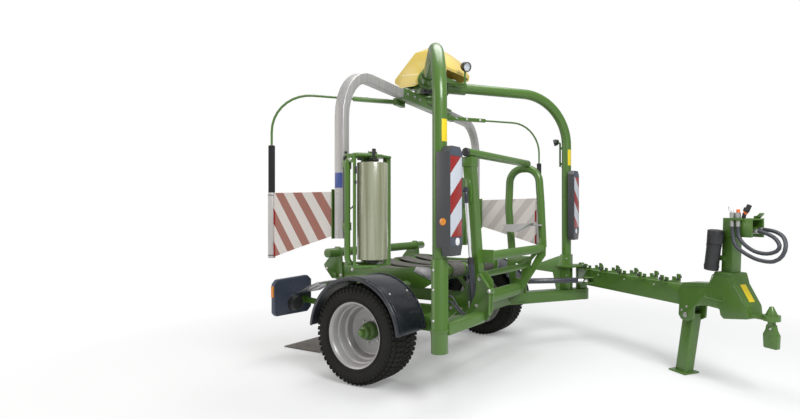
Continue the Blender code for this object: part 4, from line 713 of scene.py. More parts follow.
def tread_blocks(centre, out):
    """Staggered tread blocks and shoulder lugs, each modelled once and copied round the tyre."""
    height = settings().lug_height
    ground = TYRE_RADIUS - height
    kinds = [
        # width along the axle, length round the tyre, place along the axle, turn, share of the pitch
        (0.050, 0.033, 0.026, 18.0, 0.0), (0.050, 0.033, -0.026, 18.0, 0.5),
        (0.056, 0.035, 0.082, -14.0, 0.25), (0.056, 0.035, -0.082, -14.0, 0.75),
        (0.040, 0.031, 0.132, 8.0, 0.6), (0.040, 0.031, -0.132, 8.0, 0.1)]
    shoulder = 0.1
    pitch = 2 * math.pi / TREAD_COUNT
    placing = Matrix.Translation(centre) @ aimed(out)
    pieces = []
    for width, length, axial, turn, share in kinds:
        drop = 0.0005 if abs(axial) < shoulder else 0.011
        block = new_box((height + 0.006, length, width), (ground + height / 2 - 0.003 - drop, 0, axial),
                        bevel=0.003)
        middle = Matrix.Translation((0, 0, axial))
        moved(block, middle @ Matrix.Rotation(math.radians(turn), 4, "X") @ middle.inverted())
        if abs(axial) > shoulder:
            lean = Matrix.Rotation(math.copysign(math.radians(20.0), axial), 4, "Y")
            pivot = Matrix.Translation((ground, 0, axial))
            moved(block, pivot @ lean @ pivot.inverted())
        for number in range(TREAD_COUNT):
            pieces.append(copy_of(block, placing @ Matrix.Rotation(pitch * (number + share), 4, "Z")))
        bpy.data.objects.remove(block)
    lug = new_box((0.034, 0.016, 0.010), (ground - 0.040, 0, TYRE_HALF - 0.0065), bevel=0.003)
    for side, _ in SIDES:
        flip = Matrix.Diagonal((1.0, 1.0, side, 1.0))
        for number in range(TREAD_COUNT):
            pieces.append(copy_of(lug, placing @ Matrix.Rotation(pitch * (number + 0.35), 4, "Z") @ flip))
    bpy.data.objects.remove(lug)
    return pieces


def side_rings(centre, out):
    """Two raised rings on each sidewall."""
    rings = []
    for side, _ in SIDES:
        for reach, sunk in ((0.289, 0.0056), (0.334, 0.0016)):
            face = centre + out * side * (TYRE_HALF - sunk)
            turns = [2 * math.pi * step / 72 for step in range(72)]
            line = [face + Vector((reach * math.cos(turn), 0, reach * math.sin(turn))) for turn in turns]
            rings.append(new_tube(line, 0.0024, sides=8, closed=True))
    return rings


def rim_shell(centre, out):
    """The dished rim with its stepped well."""
    seat = RIM_SEAT - 0.0008
    lip = TYRE_HALF - 0.012
    profile = [
        (seat + 0.020, lip - 0.002), (seat + 0.020, lip - 0.010), (seat + 0.010, lip - 0.014),
        (seat, lip - 0.024), (seat, -lip + 0.024), (seat + 0.018, -lip + 0.010), (seat + 0.018, -lip),
        (seat - 0.006, -lip + 0.018), (seat - 0.012, -0.090), (0.190, -0.078), (0.080, -0.070),
        (0.080, -0.056), (0.178, -0.058), (0.198, -0.050), (0.206, -0.034), (0.208, 0.004), (0.214, 0.012),
        (0.226, 0.016), (0.229, 0.030), (0.230, 0.070), (0.234, 0.078), (0.242, 0.082), (0.244, 0.092),
        (seat - 0.006, lip - 0.030), (seat + 0.004, lip - 0.012), (seat + 0.013, lip - 0.004)]
    return new_turned(profile, centre, out, 96)


def bolt(radius, height):
    """A hexagon bolt head on a washer, standing on the zero and pointing up."""
    head = new_rod((0, 0, 0.0015), (0, 0, height), radius, 6, bevel=0.0012)
    washer = new_rod((0, 0, -0.001), (0, 0, 0.002), radius * 1.45, 20, bevel=0.0006)
    return joined([head, washer])


def copies_at(first, places):
    """Copies of one small part; each place is a point and the direction that it faces."""
    pieces = []
    for index, (point, facing) in enumerate(places):
        spin = Matrix.Rotation(index * 0.37, 4, "Z")
        pieces.append(copy_of(first, Matrix.Translation(point) @ aimed(facing) @ spin))
    bpy.data.objects.remove(first)
    return pieces


def bolts_at(places, radius, height):
    """Copies of one hexagon bolt."""
    return copies_at(bolt(radius, height), places)


def domes_at(places, radius, height):
    """Copies of one domed cap nut."""
    profile = [(0.0, height), (radius * 0.45, height * 0.93), (radius * 0.8, height * 0.6),
               (radius, height * 0.12), (radius, -0.002), (0.0, -0.002)]
    return copies_at(new_turned(profile, (0, 0, 0), (0, 0, 1), 20), places)


def tube_label(centre, radius, start, end, low, high):
    """A thin blank label that follows a round tube between two angles and two heights."""
    turns = [math.radians(start + (end - start) * step / 12) for step in range(13)]
    outer, inner = [[(centre[0] + math.cos(turn) * reach, centre[1] + math.sin(turn) * reach)
                     for turn in turns] for reach in (radius + 0.0006, radius - 0.0006)]
    return new_plate(outer + inner[::-1], high - low, "XY", (low + high) / 2)


def hub_shell(centre, out):
    """The wheel's hub: flange, barrel and a conical cap."""
    profile = [(0.0, 0.085), (0.016, 0.084), (0.024, 0.079), (0.030, 0.062), (0.033, 0.050),
               (0.046, 0.046), (0.052, 0.040), (0.054, 0.006), (0.062, 0.0), (0.0735, -0.014),
               (0.0735, -0.05), (0.0735, -0.15), (0.0735, -0.2435), (0.0, -0.2435)]
    return new_turned(profile, centre, out, 48)


def build_wheel(side, name):
    """One wheel: tyre, rim, hub, wheel nuts and valve."""
    body = "wheel_" + name
    centre = Vector(JOINTS[body + "_spin"]["pos_m"])
    out = Vector((0.0, side, 0.0))
    tyre = joined([tyre_body(centre, out)] + tread_blocks(centre, out) + side_rings(centre, out))
    put(tyre, "tyre_tread_" + name, rubber(), body, ["tyre_" + name], 28.0)
    put(rim_shell(centre, out), "rim_dish_" + name, silver(), body, ["rim_" + name])
    put(hub_shell(centre, out), "hub_cap_" + name, green(), body, ["wheel_hub_" + name])
    on_wheel = Matrix.Translation(centre) @ aimed(out)
    studs = [(on_wheel @ polar(STUD_CIRCLE, 60.0 * number + 15.0, -0.056), out) for number in range(6)]
    put(joined(bolts_at(studs, 0.013, 0.014)), "wheel_nuts_" + name, steel(), body)
    foot = on_wheel @ polar(0.205, 70.0, -0.03)
    tip = on_wheel @ polar(0.190, 70.0, 0.020)
    valve = joined([new_rod(foot, tip, 0.0045, 12), new_rod(tip, tip + out * 0.012, 0.006, 12, bevel=0.001)])
    put(valve, "tyre_valve_" + name, black(), body)


# Frame, gantry, hood, fenders, warning boards and rear

LEG = Vector((1.025, 1.296, 0.0))
LEG_SEATS = {"right": 1.0753, "left": 0.9303}
GANTRY_Z = 2.70
GANTRY_RADIUS = 0.0528
GANTRY_BEND = 0.54
LEG_LAMP = Vector((0.875, 1.360, 2.215))
LEG_LAMP_POST = Vector((0.930, 1.345, 0.0))
WORK_LAMP = Vector((0.48, -0.03, 2.815))
HOOD_WIDTH = 0.4190
HOOD_CAVITY = 0.4080
HOOD_GAP_Z = 2.580
AXLE = Vector((0.129, 0.0, TYRE_RADIUS))
FENDER_REACH = 0.4700
FENDER_TURNS = (5.5, 174.5)


def add_lamp(name, centre, facing, radius, depth):
    """A round work lamp's housing and its glass, each turned about the way it faces."""
    shell = new_turned([(0.0, -depth * 1.35), (radius * 0.55, -depth * 1.25), (radius * 0.85, -depth * 0.6),
                        (radius, -depth * 0.1), (radius, depth), (radius * 0.88, depth),
                        (radius * 0.86, depth * 0.8), (0.0, depth * 0.8)], centre, facing, 36)
    glass = new_turned([(0.0, depth * 0.98), (radius * 0.5, depth * 0.95), (radius * 0.85, depth * 0.82),
                        (radius * 0.85, depth * 0.7), (0.0, depth * 0.7)], centre, facing, 36)
    trim([shell], name + "_shell", black(), "frame")
    trim([glass], name + "_glass", lens(), "frame")


def leg_lamp_post():
    """The small post beside the left leg, its two straps and the arm of the lamp."""
    x, y = LEG_LAMP_POST.x, LEG_LAMP_POST.y
    strap = LEG - LEG_LAMP_POST
    pieces = [new_rod((x, y, 1.93), (x, y, 2.20), 0.0108, 20),
              new_tube([(x, y, 2.19), (x, y, 2.205), LEG_LAMP], 0.007, 0.01, 6, 12)]
    for z in (1.96, 2.14):
        pieces.append(new_box((0.10, 0.010, 0.028), LEG_LAMP_POST + strap / 2 + Vector((0, 0, z)),
                              heading(strap.x, strap.y), 0.002))
    return moved(joined(pieces), SHIFT)


def build_gantry_tubes():
    """The two bent tubes of the gantry, round all the way, and the lamp on the left one."""
    for side, name in SIDES:
        leg = Vector((LEG.x, side * LEG.y, 0.0))
        top = Vector((0.0, 0.0, GANTRY_Z))
        foot = leg + Vector((0.0, 0.0, LEG_SEATS[name]))
        line = [SHIFT @ point for point in (top + leg.normalized() * 0.14, top + leg, foot)]
        tube = new_tube(line, GANTRY_RADIUS, GANTRY_BEND, 32, 40)
        if name == "left":
            tube = joined([tube, leg_lamp_post()])
        put(tube, "gantry_bend_" + name, green(), "frame", ["gantry_tube_" + name])
    add_lamp("leg_lamp", LEG_LAMP, (-0.90, -0.35, -0.25), 0.0375, 0.028)
    lead = new_tube(flowing([(0.930, 1.362, 1.95), (0.952, 1.372, 1.90), (0.995, 1.368, 1.85),
                             (1.030, 1.362, 1.80)], 0.02), 0.003, sides=12)
    trim([lead], "leg_lamp_lead", black(), "frame")
    labels = [tube_label((LEG.x, -LEG.y), GANTRY_RADIUS, -41.0, 24.0, 1.906, 2.064),
              tube_label((LEG.x, LEG.y), GANTRY_RADIUS, -53.0, 5.0, 1.935, 2.112)]
    trim(labels, "leg_labels", label_yellow(), "frame")
    caps = domes_at([((LEG.x - 0.0137, -LEG.y - 0.0605, z), (-0.22, -0.9755, 0.0))
                     for z in (1.000, 0.861, 0.643)], 0.0115, 0.009)
    caps += domes_at([((LEG.x + 0.020, LEG.y - 0.0555, z), (0, -1, 0)) for z in (0.885, 0.70)], 0.010, 0.008)
    trim(caps, "leg_bolts", steel(), "frame")


def build_frame():
    """Welded frame, outrigger and hub with their bolts, and two hydraulic lines."""
    edge = settings().edge
    dress_nodes([("chassis", green(), "frame", "green_paint", edge),
                 ("right_outrigger", green(), "frame", "green_paint", edge),
                 ("gantry_hub", green(), "frame", "green_paint", 0.0015)])
    build_gantry_tubes()
    bracket_face, right = -0.758, (0, -1, 0)
    heads = domes_at([((1.155, -0.792, 0.79), right)], 0.018, 0.018)
    heads += bolts_at([((0.97, bracket_face, 0.575), right), ((1.045, bracket_face, 0.875), right),
                       ((1.02, bracket_face, 0.66), right)], 0.010, 0.009)
    heads += bolts_at([((0.74, -0.695, 0.61), right)], 0.016, 0.012)
    heads += bolts_at([((0.62, side * 0.28, 0.56), (0, 0, 1)) for side, _ in SIDES], 0.010, 0.009)
    pin_cap = Vector((HINGE.x - SHIFT_X, HINGE.y, 0.0))
    heads += bolts_at([(pin_cap + polar(0.045, math.degrees(turn), 0.8105), (0, 0, 1))
                       for turn in (0.6, 2.2, 3.8, 5.4)], 0.008, 0.007)
    trim(heads, "frame_bolts", steel(), "frame")
    routes = (((0.50, -0.62, 0.575), (0.70, -0.66, 0.70), (0.83, -0.72, 0.62), (0.93, -0.73, 0.55)),
              ((0.50, -0.64, 0.56), (0.72, -0.70, 0.66), (0.84, -0.74, 0.60), (0.93, -0.74, 0.53)))
    lines = [new_tube(flowing(route, 0.03), 0.008, sides=12) for route in routes]
    trim(lines, "frame_hydraulic_lines", hose_look(), "frame")


def hood_body():
    """The hollow hood with bevelled top edges, cut out over the gantry's sleeves."""
    outline = [(-0.2345, 2.700), (-0.2345, 2.735), (0.012, 2.962), (0.090, 3.0345), (0.195, 3.020),
               (0.300, 2.925), (0.390, 2.785), (0.374, 2.736), (0.215, 2.7205), (0.008, 2.6455),
               (-0.160, 2.6455)]
    inner = [(-0.229, 2.50), (-0.229, 2.732), (0.014, 2.948), (0.200, 2.948), (0.294, 2.915), (0.382, 2.782),
             (0.382, 2.50)]
    hood = new_plate(outline, HOOD_WIDTH, "XZ", 0.0)
    roof = new_plate([(-0.32, 2.906), (-0.10, 3.030), (-0.10, 3.150), (-0.32, 3.150)], 1.2, "YZ", 0.0)
    for cutter in both_sides(roof) + [new_plate(inner, HOOD_CAVITY, "XZ", 0.0)]:
        hood = cut_by(hood, cutter)
    sleeve = Vector((0.0, 0.0, GANTRY_Z))
    for side, _ in SIDES:
        way = Vector((LEG.x, side * LEG.y, 0.0)).normalized()
        hood = cut_by(hood, new_rod(way * 0.10 + sleeve, way * 0.60 + sleeve, 0.080, 40))
        hood = cut_by(hood, new_box((0.50, 0.16, 0.24), way * 0.35 + Vector((0.0, 0.0, HOOD_GAP_Z)),
                                    heading(way.x, way.y)))
    return soften(hood, 0.0035, 2, 24.0)


def build_hood():
    """The yellow hood, its folds with a painted highlight, its bolts, the motor and the work lamp."""
    put(moved(hood_body(), SHIFT), "hood_shell", yellow(), "frame", ["drive_hood"])
    # A thin pale strip on each side stands for the fold, and its pale colour is a painted highlight
    fold = new_box((0.42, 0.0022, 0.007), (0.06, -HOOD_WIDTH / 2 - 0.0005, 2.752), (0, 4.5, 0), 0.0009)
    trim(both_sides(fold), "hood_folds", fold_highlight_yellow(), "frame")
    places = [((x, side * (HOOD_WIDTH / 2 - 0.0005), z), (0, side, 0)) for side, _ in SIDES
              for x, z in ((0.0, 2.668), (0.345, 2.758))]
    places += [((0.384, y, 2.765), (1, 0, -0.2)) for y in (-0.15, 0.15)]
    trim(domes_at(places, 0.009, 0.006), "hood_bolts", steel(), "frame")
    add_lamp("work_lamp", WORK_LAMP, (0.85, -0.3, -0.3), 0.0465, 0.037)
    x, y = 0.10, -0.13
    motor = [new_rod((x, y, 2.590), (x, y, 2.672), 0.0508, 28, bevel=0.004),
             new_box((0.075, 0.075, 0.030), (x, y, 2.585), bevel=0.006),
             new_rod((x, y - 0.055, 2.60), (x, y, 2.60), 0.013, 16, bevel=0.002),
             new_rod((x + 0.035, y - 0.05, 2.635), (x + 0.02, y, 2.635), 0.013, 16, bevel=0.002)]
    trim(motor, "drive_motor_case", black(), "frame")


def build_fenders():
    """Fenders with a rolled lip along both edges, a stiffening fold and their bolts."""
    for _, name in SIDES:
        put(from_node("fender_" + name, 0.003, 3, 40.0), "fender_shell_" + name, fender_plastic(), "frame",
            ["fender_" + name], 40.0)
    start, end = (math.radians(turn) for turn in FENDER_TURNS)
    turns = [start + (end - start) * step / 40 for step in range(41)]
    rolls = []
    for reach, y, radius in ((FENDER_REACH, -1.214, 0.0085), (FENDER_REACH + 0.0005, -0.862, 0.0060),
                             (FENDER_REACH, -1.180, 0.0035)):
        line = [AXLE + Vector((math.cos(turn) * reach, y, math.sin(turn) * reach)) for turn in turns]
        rolls += both_sides(new_tube(line, radius, sides=12))
    trim(rolls, "fender_rolled_edges", fender_plastic(), "frame", smooth=50.0)
    places = []
    for turn in (math.radians(48.0), math.radians(132.0)):
        way = Vector((math.cos(turn), 0.0, math.sin(turn)))
        places += [(AXLE + way * (FENDER_REACH - 0.0005) + Vector((0, side * y, 0)), way)
                   for side, _ in SIDES for y in (1.13, 0.905)]
    trim(domes_at(places, 0.0115, 0.007), "fender_bolts", steel(), "frame")


def build_warning_panels():
    """Housings on the legs with red and white boards, their frames, reflectors and blank discs."""
    for side, name in SIDES:
        put(from_node("warning_housing_" + name, 0.010, 3), "board_housing_" + name, housing(), "frame",
            ["warning_housing_" + name])
        put(from_node("warning_board_" + name, 0.001), "board_face_" + name, board_stripes(side, name),
            "frame", ["warning_board_" + name])
    front, inner_edge, outer_edge, low, high = 1.1505, 1.194, 1.356, 1.17, 1.862
    rim = new_plate([(inner_edge, low), (outer_edge, low), (outer_edge, high - 0.037),
                     (outer_edge - 0.028, high), (inner_edge + 0.028, high), (inner_edge, high - 0.037)],
                    0.005, "YZ", front)
    window = new_span((front - 0.01, inner_edge + 0.0065, 1.2335),
                      (front + 0.01, outer_edge - 0.0012, 1.8015))
    rim = soften(cut_by(rim, window), 0.0015, 2, 50.0)
    trim(both_sides(rim), "board_frames", blue_plastic(), "frame")
    crest = new_plate([(1.215, 1.840), (1.335, 1.840), (1.322, 1.868), (1.228, 1.868)], 0.060, "YZ", 1.114,
                      bevel=0.004)
    trim(both_sides(crest), "board_crests", blue_plastic(), "frame")
    disc = new_turned([(0.0, 0.0065), (0.020, 0.006), (0.0245, 0.004), (0.026, 0.0), (0.026, -0.001),
                       (0.0, -0.001)], (1.093, -1.360, 1.340), (0, -1, 0), 32)
    trim(both_sides(disc), "board_reflectors", amber(), "frame")
    blank = new_rod((front + 0.002, 1.262, 1.200), (front + 0.004, 1.262, 1.200), 0.0275, 32, bevel=0.0006)
    trim(both_sides(blank), "board_discs", white_plastic(), "frame")


def build_rear():
    """Light panels with reflectors and lamp backs, slotted treads and the drop mat."""
    for side, name in SIDES:
        put(from_node("light_panel_" + name, 0.010, 3), "light_carrier_" + name, panel_plastic(), "frame",
            ["light_panel_" + name])
        tread = from_node("rear_tread_" + name, 0.0)
        for y in (0.735, 0.585):
            slot = new_box((0.165, 0.032, 0.12), at(-0.835, side * y, 0.690), (0, -23.3, 0), 0.012, 4)
            tread = cut_by(tread, slot)
        put(soften(tread, 0.002, 2, 40.0), "tread_plate_" + name, galvanised(), "frame",
            ["rear_tread_" + name])
    ridges = []
    for y in (-0.785, -0.685, -0.635, -0.535):
        ridges += both_sides(new_tube([(-0.945, y, 0.6345), (-0.704, y, 0.7385)], 0.0055, sides=12))
    trim(ridges, "tread_ridges", galvanised(), "frame")
    pod = new_turned([(0.0, 0.0618), (0.058, 0.0618), (0.0660, 0.056), (0.0805, 0.002), (0.0805, -0.001),
                      (0.0, -0.001)], (-0.961, -0.846, 0.535), (1, 0, 0), 40)
    trim(both_sides(pod), "lamp_backs", black(), "frame")
    reflector = new_box((0.034, 0.010, 0.105), (-0.986, -1.073, 0.665), bevel=0.003)
    trim(both_sides(reflector), "side_reflectors", amber(), "frame")
    screws = []
    for y, z in ((-1.045, 0.735), (-1.045, 0.665), (-1.045, 0.470), (-0.885, 0.745), (-0.66, 0.745),
                 (-0.90, 0.445)):
        screws += both_sides(new_rod((-0.9602, y, z), (-0.9575, y, z), 0.0055, 12, bevel=0.0008))
    trim(screws, "panel_screws", black(), "frame")
    lamp = new_span((-1.0135, -1.03, 0.50), (-1.0095, -0.68, 0.60), 0.0015)
    trim(both_sides(lamp), "rear_lamp_glass", red(), "frame")
    put(from_node("drop_mat", 0.002), "rubber_mat", belt(), "frame", ["drop_mat"])


# Satellite

ARM_RADIUS = 1.483
ARM_FACE = ARM_RADIUS + 0.0400
ARM_SIDE = 0.0487
ROD_END = polar(1.499, -36.40)
ROD_TUBE = (1.0150, 1.5750)
ROLL_PLACE = polar(1.435, 9.0)
FLAG_INNER_END = Vector((ARM_RADIUS, -0.0875, 0.0))
FLAG_OUTER = (1.024, 1.572)
FLAG_INNER = (1.225, 1.562)
FLAG_START = 0.0306
STRIPE_PITCH = 0.285
STRIPE_SLANT = 1.08


def build_satellite():
    """Beam, aluminium arms, brackets, rods, flags and dispensers, with their bolts and blank labels."""
    put(from_node("satellite_beam", 0.003), "turning_beam", green(), "satellite",
        ["satellite_beam"])
    for half_turns, (_, name) in enumerate(SIDES):
        placing = on_arm(half_turns)
        put(from_node("satellite_arm_" + name, 0.007, 3, 50.0), "arm_profile_" + name, aluminium(),
            "satellite", ["satellite_arm_" + name], 35.0)
        put(from_node("flag_bracket_" + name, 0.0015), "bracket_" + name, green(), "satellite",
            ["flag_bracket_" + name])
        put(from_node("dispenser_" + name, 0.0012, 2, 40.0), "dispenser_frame_" + name, green(),
            "satellite", ["dispenser_" + name], 40.0)
        put(from_node("film_roll_" + name, 0.003), "film_wound_" + name, film(), "film_roll_" + name,
            ["film_roll_" + name], 45.0)
        build_rod(placing, name)
        build_flag(placing, name)
        heads = domes_at([((ARM_FACE, -0.016, z), (1, 0, 0)) for z in (1.555, 1.245)], 0.0085, 0.006)
        for side, reaches in ((1, (0.50, 0.36, 0.24)), (-1, (0.52, 0.30))):
            heads += bolts_at([((reach, side * ARM_SIDE, 2.497), (0, side, 0)) for reach in reaches],
                              0.011, 0.009)
        heads += domes_at([((1.551, 0.115, 1.797), (1, 0, 0))], 0.013, 0.008)
        trim(heads, "arm_bolts_" + name, steel(), "satellite", placing)
        build_dispenser_fittings(placing, name)
        label = new_box((0.0010, 0.066, 0.113), (ARM_FACE + 0.0004, 0.0, 1.646), bevel=0.0003)
        trim([label], "arm_label_" + name, label_blue(), "satellite", placing)


def build_dispenser_fittings(placing, name):
    """A film dispenser's end discs, latches, knob, tabs and wing nut."""
    x, y = ROLL_PLACE.x, ROLL_PLACE.y
    dark = [new_rod((x, y, 1.7895), (x, y, 1.806), 0.047, 32, bevel=0.003),
            new_rod((x, y, 1.0265), (x, y, 1.042), 0.047, 32, bevel=0.003),
            new_box((0.030, 0.020, 0.058), (x + 0.055, y + 0.045, 1.848), bevel=0.004),
            new_box((0.070, 0.036, 0.014), (x - 0.02, y - 0.02, 1.846), bevel=0.004),
            new_rod((x + 0.02, y - 0.10, 1.800), (x + 0.02, y - 0.10, 1.822), 0.018, 20, bevel=0.003),
            new_rod((1.545, 0.1585, 1.745), (1.545, 0.1585, 1.690), 0.009, 16, bevel=0.002),
            new_rod((1.548, 0.1605, 1.640), (1.548, 0.1605, 1.615), 0.008, 16, bevel=0.002),
            new_box((0.018, 0.014, 0.032), (1.500, 0.0465, 1.846), bevel=0.003),
            new_rod((1.500, 0.0465, 1.826), (1.500, 0.0465, 1.805), 0.004, 12),
            new_turned([(0.0, 0.012), (0.007, 0.010), (0.0105, 0.004), (0.0105, -0.003), (0.006, -0.009),
                        (0.0, -0.010)], (1.533, 0.132, 1.447), (0, 1, 0.35), 20)]
    trim(dark, "dispenser_fittings_" + name, black(), "satellite", placing)
    posts = [new_rod((1.533, 0.100, 1.430), (1.533, 0.126, 1.444), 0.006, 16),
             new_box((0.012, 0.050, 0.052), (1.545, 0.115, 1.799), bevel=0.003),
             new_box((0.022, 0.050, 0.012), (x + 0.075, y + 0.10, 1.822), bevel=0.002),
             new_box((0.012, 0.012, 0.024), (x + 0.085, y + 0.10, 1.812), bevel=0.002)]
    trim(posts, "dispenser_tabs_" + name, green(), "satellite", placing)
    x -= 0.035
    ears = flowing([(x, y - 0.058, 1.876), (x, y - 0.046, 1.866), (x, y - 0.024, 1.866),
                    (x, y - 0.012, 1.876)], 0.006)
    wing = [new_rod((x, y - 0.035, 1.838), (x, y - 0.035, 1.866), 0.0055, 16),
            new_tube(ears, 0.0038, sides=12)]
    trim(wing, "dispenser_wing_nut_" + name, steel(), "satellite", placing)


def build_rod(placing, name):
    """A safety rod with its foam sleeve, the tube below it and the clamp's bolts."""
    rod = from_node("safety_rod_" + name, 0.0)
    work_in(rod, "DISPLACE", strength=0.0022, mid_level=0.0)
    put(soften(rod, 0.001, 2, 40.0), "guard_rod_" + name, green(), "satellite",
        ["safety_rod_" + name], 45.0)
    low, high = ROD_TUBE
    up = (0, 0, 1)
    bore = 0.0086
    sleeve = new_turned([(0.0110, 1.9800), (0.0245, 1.9790), (0.0270, 1.974), (0.0270, high + 0.008),
                         (0.0262, high + 0.0002), (0.0110, high + 0.0002)], ROD_END, up, 32)
    trim([sleeve], "foam_sleeve_" + name, foam(), "satellite", placing, 40.0)
    tube = new_turned([(bore, low), (0.0275, low), (0.0298, low + 0.003), (0.0298, high - 0.003),
                       (0.0275, high), (bore, high)], ROD_END, up, 40)
    put(moved(tube, placing), "guard_sleeve_" + name, sleeve_grey(), "satellite",
        ["rod_tube_" + name], 40.0)
    bands = [new_turned([(0.0290, z - 0.004), (0.0306, z - 0.003), (0.0306, z + 0.003), (0.0290, z + 0.004)],
                        ROD_END, up, 40) for z in (high - 0.022, low + 0.024)]
    trim(bands, "sleeve_bands_" + name, black(), "satellite", placing, 40.0)
    start = Vector((0.47, -0.060, 2.435))
    way = (Vector((ROD_END.x, ROD_END.y, start.z)) - start).normalized()
    side = Vector((way.y, -way.x, 0.0))
    half = 0.0172
    heads = bolts_at([(start + way * reach + side * half, side) for reach in (0.08, 0.20, 0.36)],
                     0.008, 0.008)
    heads += bolts_at([(start + way * reach + Vector(up) * half, up) for reach in (0.12, 0.30)], 0.008, 0.008)
    trim(heads, "rod_clamp_bolts_" + name, steel(), "satellite", placing)


def flag_cloth(way, length, aside):
    """A flag's mesh in the arm's frame: lower edge rising inwards, with a slight wave."""
    bpy.ops.object.select_all(action="DESELECT")
    bpy.ops.mesh.primitive_grid_add(x_subdivisions=36, y_subdivisions=20, size=2.0)
    cloth = bpy.context.object
    for vertex in cloth.data.vertices:
        share, height = (vertex.co.x + 1) / 2, (vertex.co.y + 1) / 2
        low, high = (outer + (inner - outer) * share for outer, inner in zip(FLAG_OUTER, FLAG_INNER))
        sag = math.sin(math.pi * share)
        low += 0.004 * sag
        wave = 0.0032 * sag * 4 * height * (1 - height) * math.sin(5.0 * share + 3.0 * height)
        spot = ROD_END + way * (FLAG_START + (length - FLAG_START) * share) + aside * wave
        vertex.co = (spot.x, spot.y, low + (high - low) * height)
    work_in(cloth, "SOLIDIFY", thickness=0.0014, offset=0.0)
    return clean(cloth)


def build_flag(placing, name):
    """A striped mesh flag between the rod's tube and the arm's bracket, with its dark hem."""
    run = FLAG_INNER_END - ROD_END
    way = run.normalized()
    aside = Vector((way.y, -way.x, 0.0))
    cloth = moved(flag_cloth(way, run.length, aside), placing)
    level = (placing.to_3x3() @ way).normalized()
    # The first stripe starts a little below the flag's upper outer corner, and whole pitches are
    # added to keep the sum positive
    start = -STRIPE_SLANT * level.dot(placing @ ROD_END) - FLAG_OUTER[1] - 0.057 + 10 * STRIPE_PITCH
    pale = (0.66, 0.62, 0.585)
    front = mesh_stripes("flag_mesh_" + name, pale, (0.34, 0.155, 0.125), 0.48, level, start)
    back = mesh_stripes("flag_back_" + name, pale, (0.52, 0.475, 0.455), 0.46, level, start)
    put(cloth, "flag_" + name, front, "satellite", ["mesh_flag_" + name])
    cloth.data.materials.append(back)
    outward = placing.to_3x3() @ aside
    if outward.dot(placing @ ROD_END - placing.translation) < 0:
        outward.negate()
    for face in cloth.data.polygons:
        face.material_index = 0 if face.normal.dot(outward) > -0.2 else 1
    hem = new_plate([(0.0312, 1.030), (0.058, 1.037), (0.058, 1.570), (0.0312, 1.570)], 0.0034, "XZ", 0.0,
                    bevel=0.0006)
    along = Matrix.Translation(ROD_END) @ Matrix.Rotation(math.atan2(way.y, way.x), 4, "Z")
    dark = mesh_stripes("flag_hem_" + name, (0.62, 0.57, 0.53), (0.30, 0.022, 0.018), 0.48, level, start)
    put(moved(hem, placing @ along), "flag_hem_strip_" + name, dark, "satellite")


# Table, loading arm, cylinders and drawbar

TABLE_SIDE = 0.6205
EAR_SIDE = 0.6345
HOOP_Y = 0.6155
LIFT_FOOT = Vector((0.97, -0.70, 0.575))
LIFT_EYE = Vector((0.885, -0.70, 1.59))
CHEEK_SIDE = 0.0803
TONGUE_SIDE = 0.0177
RACK_COUNT = 5
RACK_START = 0.2225
RACK_PITCH = 0.29
CANISTER_FOOT = Vector((1.947, -0.118, 0.945))
CANISTER_LEAN = Vector((0.038, 0.0, 0.255))
COUPLINGS = (Vector((2.140, -0.105, 1.403)), Vector((2.182, -0.0925, 1.403)))
PLUG_FOOT = Vector((2.206, -0.050, 1.399))
PLUG_NECK = Vector((2.219, -0.048, 1.409))


def build_table():
    """The tipping table with its belts, the rear guide tube, wear plates and bolts."""
    dress_nodes([("table_frame", green(), "table", "green_paint", 0.002),
                 ("table_rear_guide", green(), "table", "green_paint", 0.002)])
    for number in range(1, 5):
        name = "table_belt_%d" % number
        put(from_node(name, 0.0015), "belt_%d" % number, belt(), "table", [name])
    places = []
    for side, _ in SIDES:
        places += [((x, side * y, z), (0, side, 0)) for x, y, z in (
            (-0.62, EAR_SIDE, 0.80), (-0.735, EAR_SIDE, 0.855), (-0.605, EAR_SIDE, 1.045),
            (-0.555, EAR_SIDE, 0.80), (-0.42, TABLE_SIDE, 0.86), (0.42, TABLE_SIDE, 0.86),
            (-0.25, TABLE_SIDE, 0.757), (0.25, TABLE_SIDE, 0.757))]
    trim(bolts_at(places, 0.011, 0.010), "table_bolts", steel(), "table")
    corner = new_plate([(0.30, 0.880), (0.505, 0.805), (0.505, 0.900), (0.46, 0.9255), (0.33, 0.9255)],
                       0.003, "XZ", -TABLE_SIDE - 0.0017, bevel=0.0008)
    trim(both_sides(corner), "table_wear_plates", galvanised(), "table")


def build_loading_arm():
    """Post, cross tubes, truss, hoop and the silver guide, with caps and bolts."""
    edge = settings().edge
    dress_nodes([("loading_arm_post", green(), "loading_arm", "green_paint", edge),
                 ("loading_arm_truss", green(), "loading_arm", "green_paint", edge),
                 ("loading_arm_top_tube", green(), "loading_arm", "green_paint", 0.002),
                 ("bale_guide", silver(), "loading_arm", "silver_paint", 0.0008)])
    corners = [(0.680, 0.88), (0.632, 1.45), (0.650, 1.860), (0.970, 1.860), (0.997, 1.50), (1.020, 1.05)]
    hoop = new_tube([at(x, HOOP_Y, z) for x, z in corners], 0.0398, 0.15, 14, 32)
    put(hoop, "hoop_tube", green(), "loading_arm", ["loading_arm_hoop"])
    right = (0, -1, 0)
    cap = new_turned([(0.0, 0.010), (0.024, 0.009), (0.032, 0.005), (0.0368, -0.002), (0.0368, -0.014),
                      (0.0, -0.014)], (0.868, -0.675, 1.905), right, 36)
    trim([cap], "top_tube_cap", black(), "loading_arm")
    heads = bolts_at([((0.885, -0.665, 1.59), right), ((0.870, -0.665, 1.49), right)], 0.010, 0.009)
    heads += bolts_at([((0.74, 0.5815, 0.61), (0, 1, 0))], 0.020, 0.012)
    heads += bolts_at([((0.985, -0.645, 0.70), right), ((0.80, -0.6405, 0.60), right)], 0.009, 0.008)
    trim(heads, "loading_arm_bolts", steel(), "loading_arm")


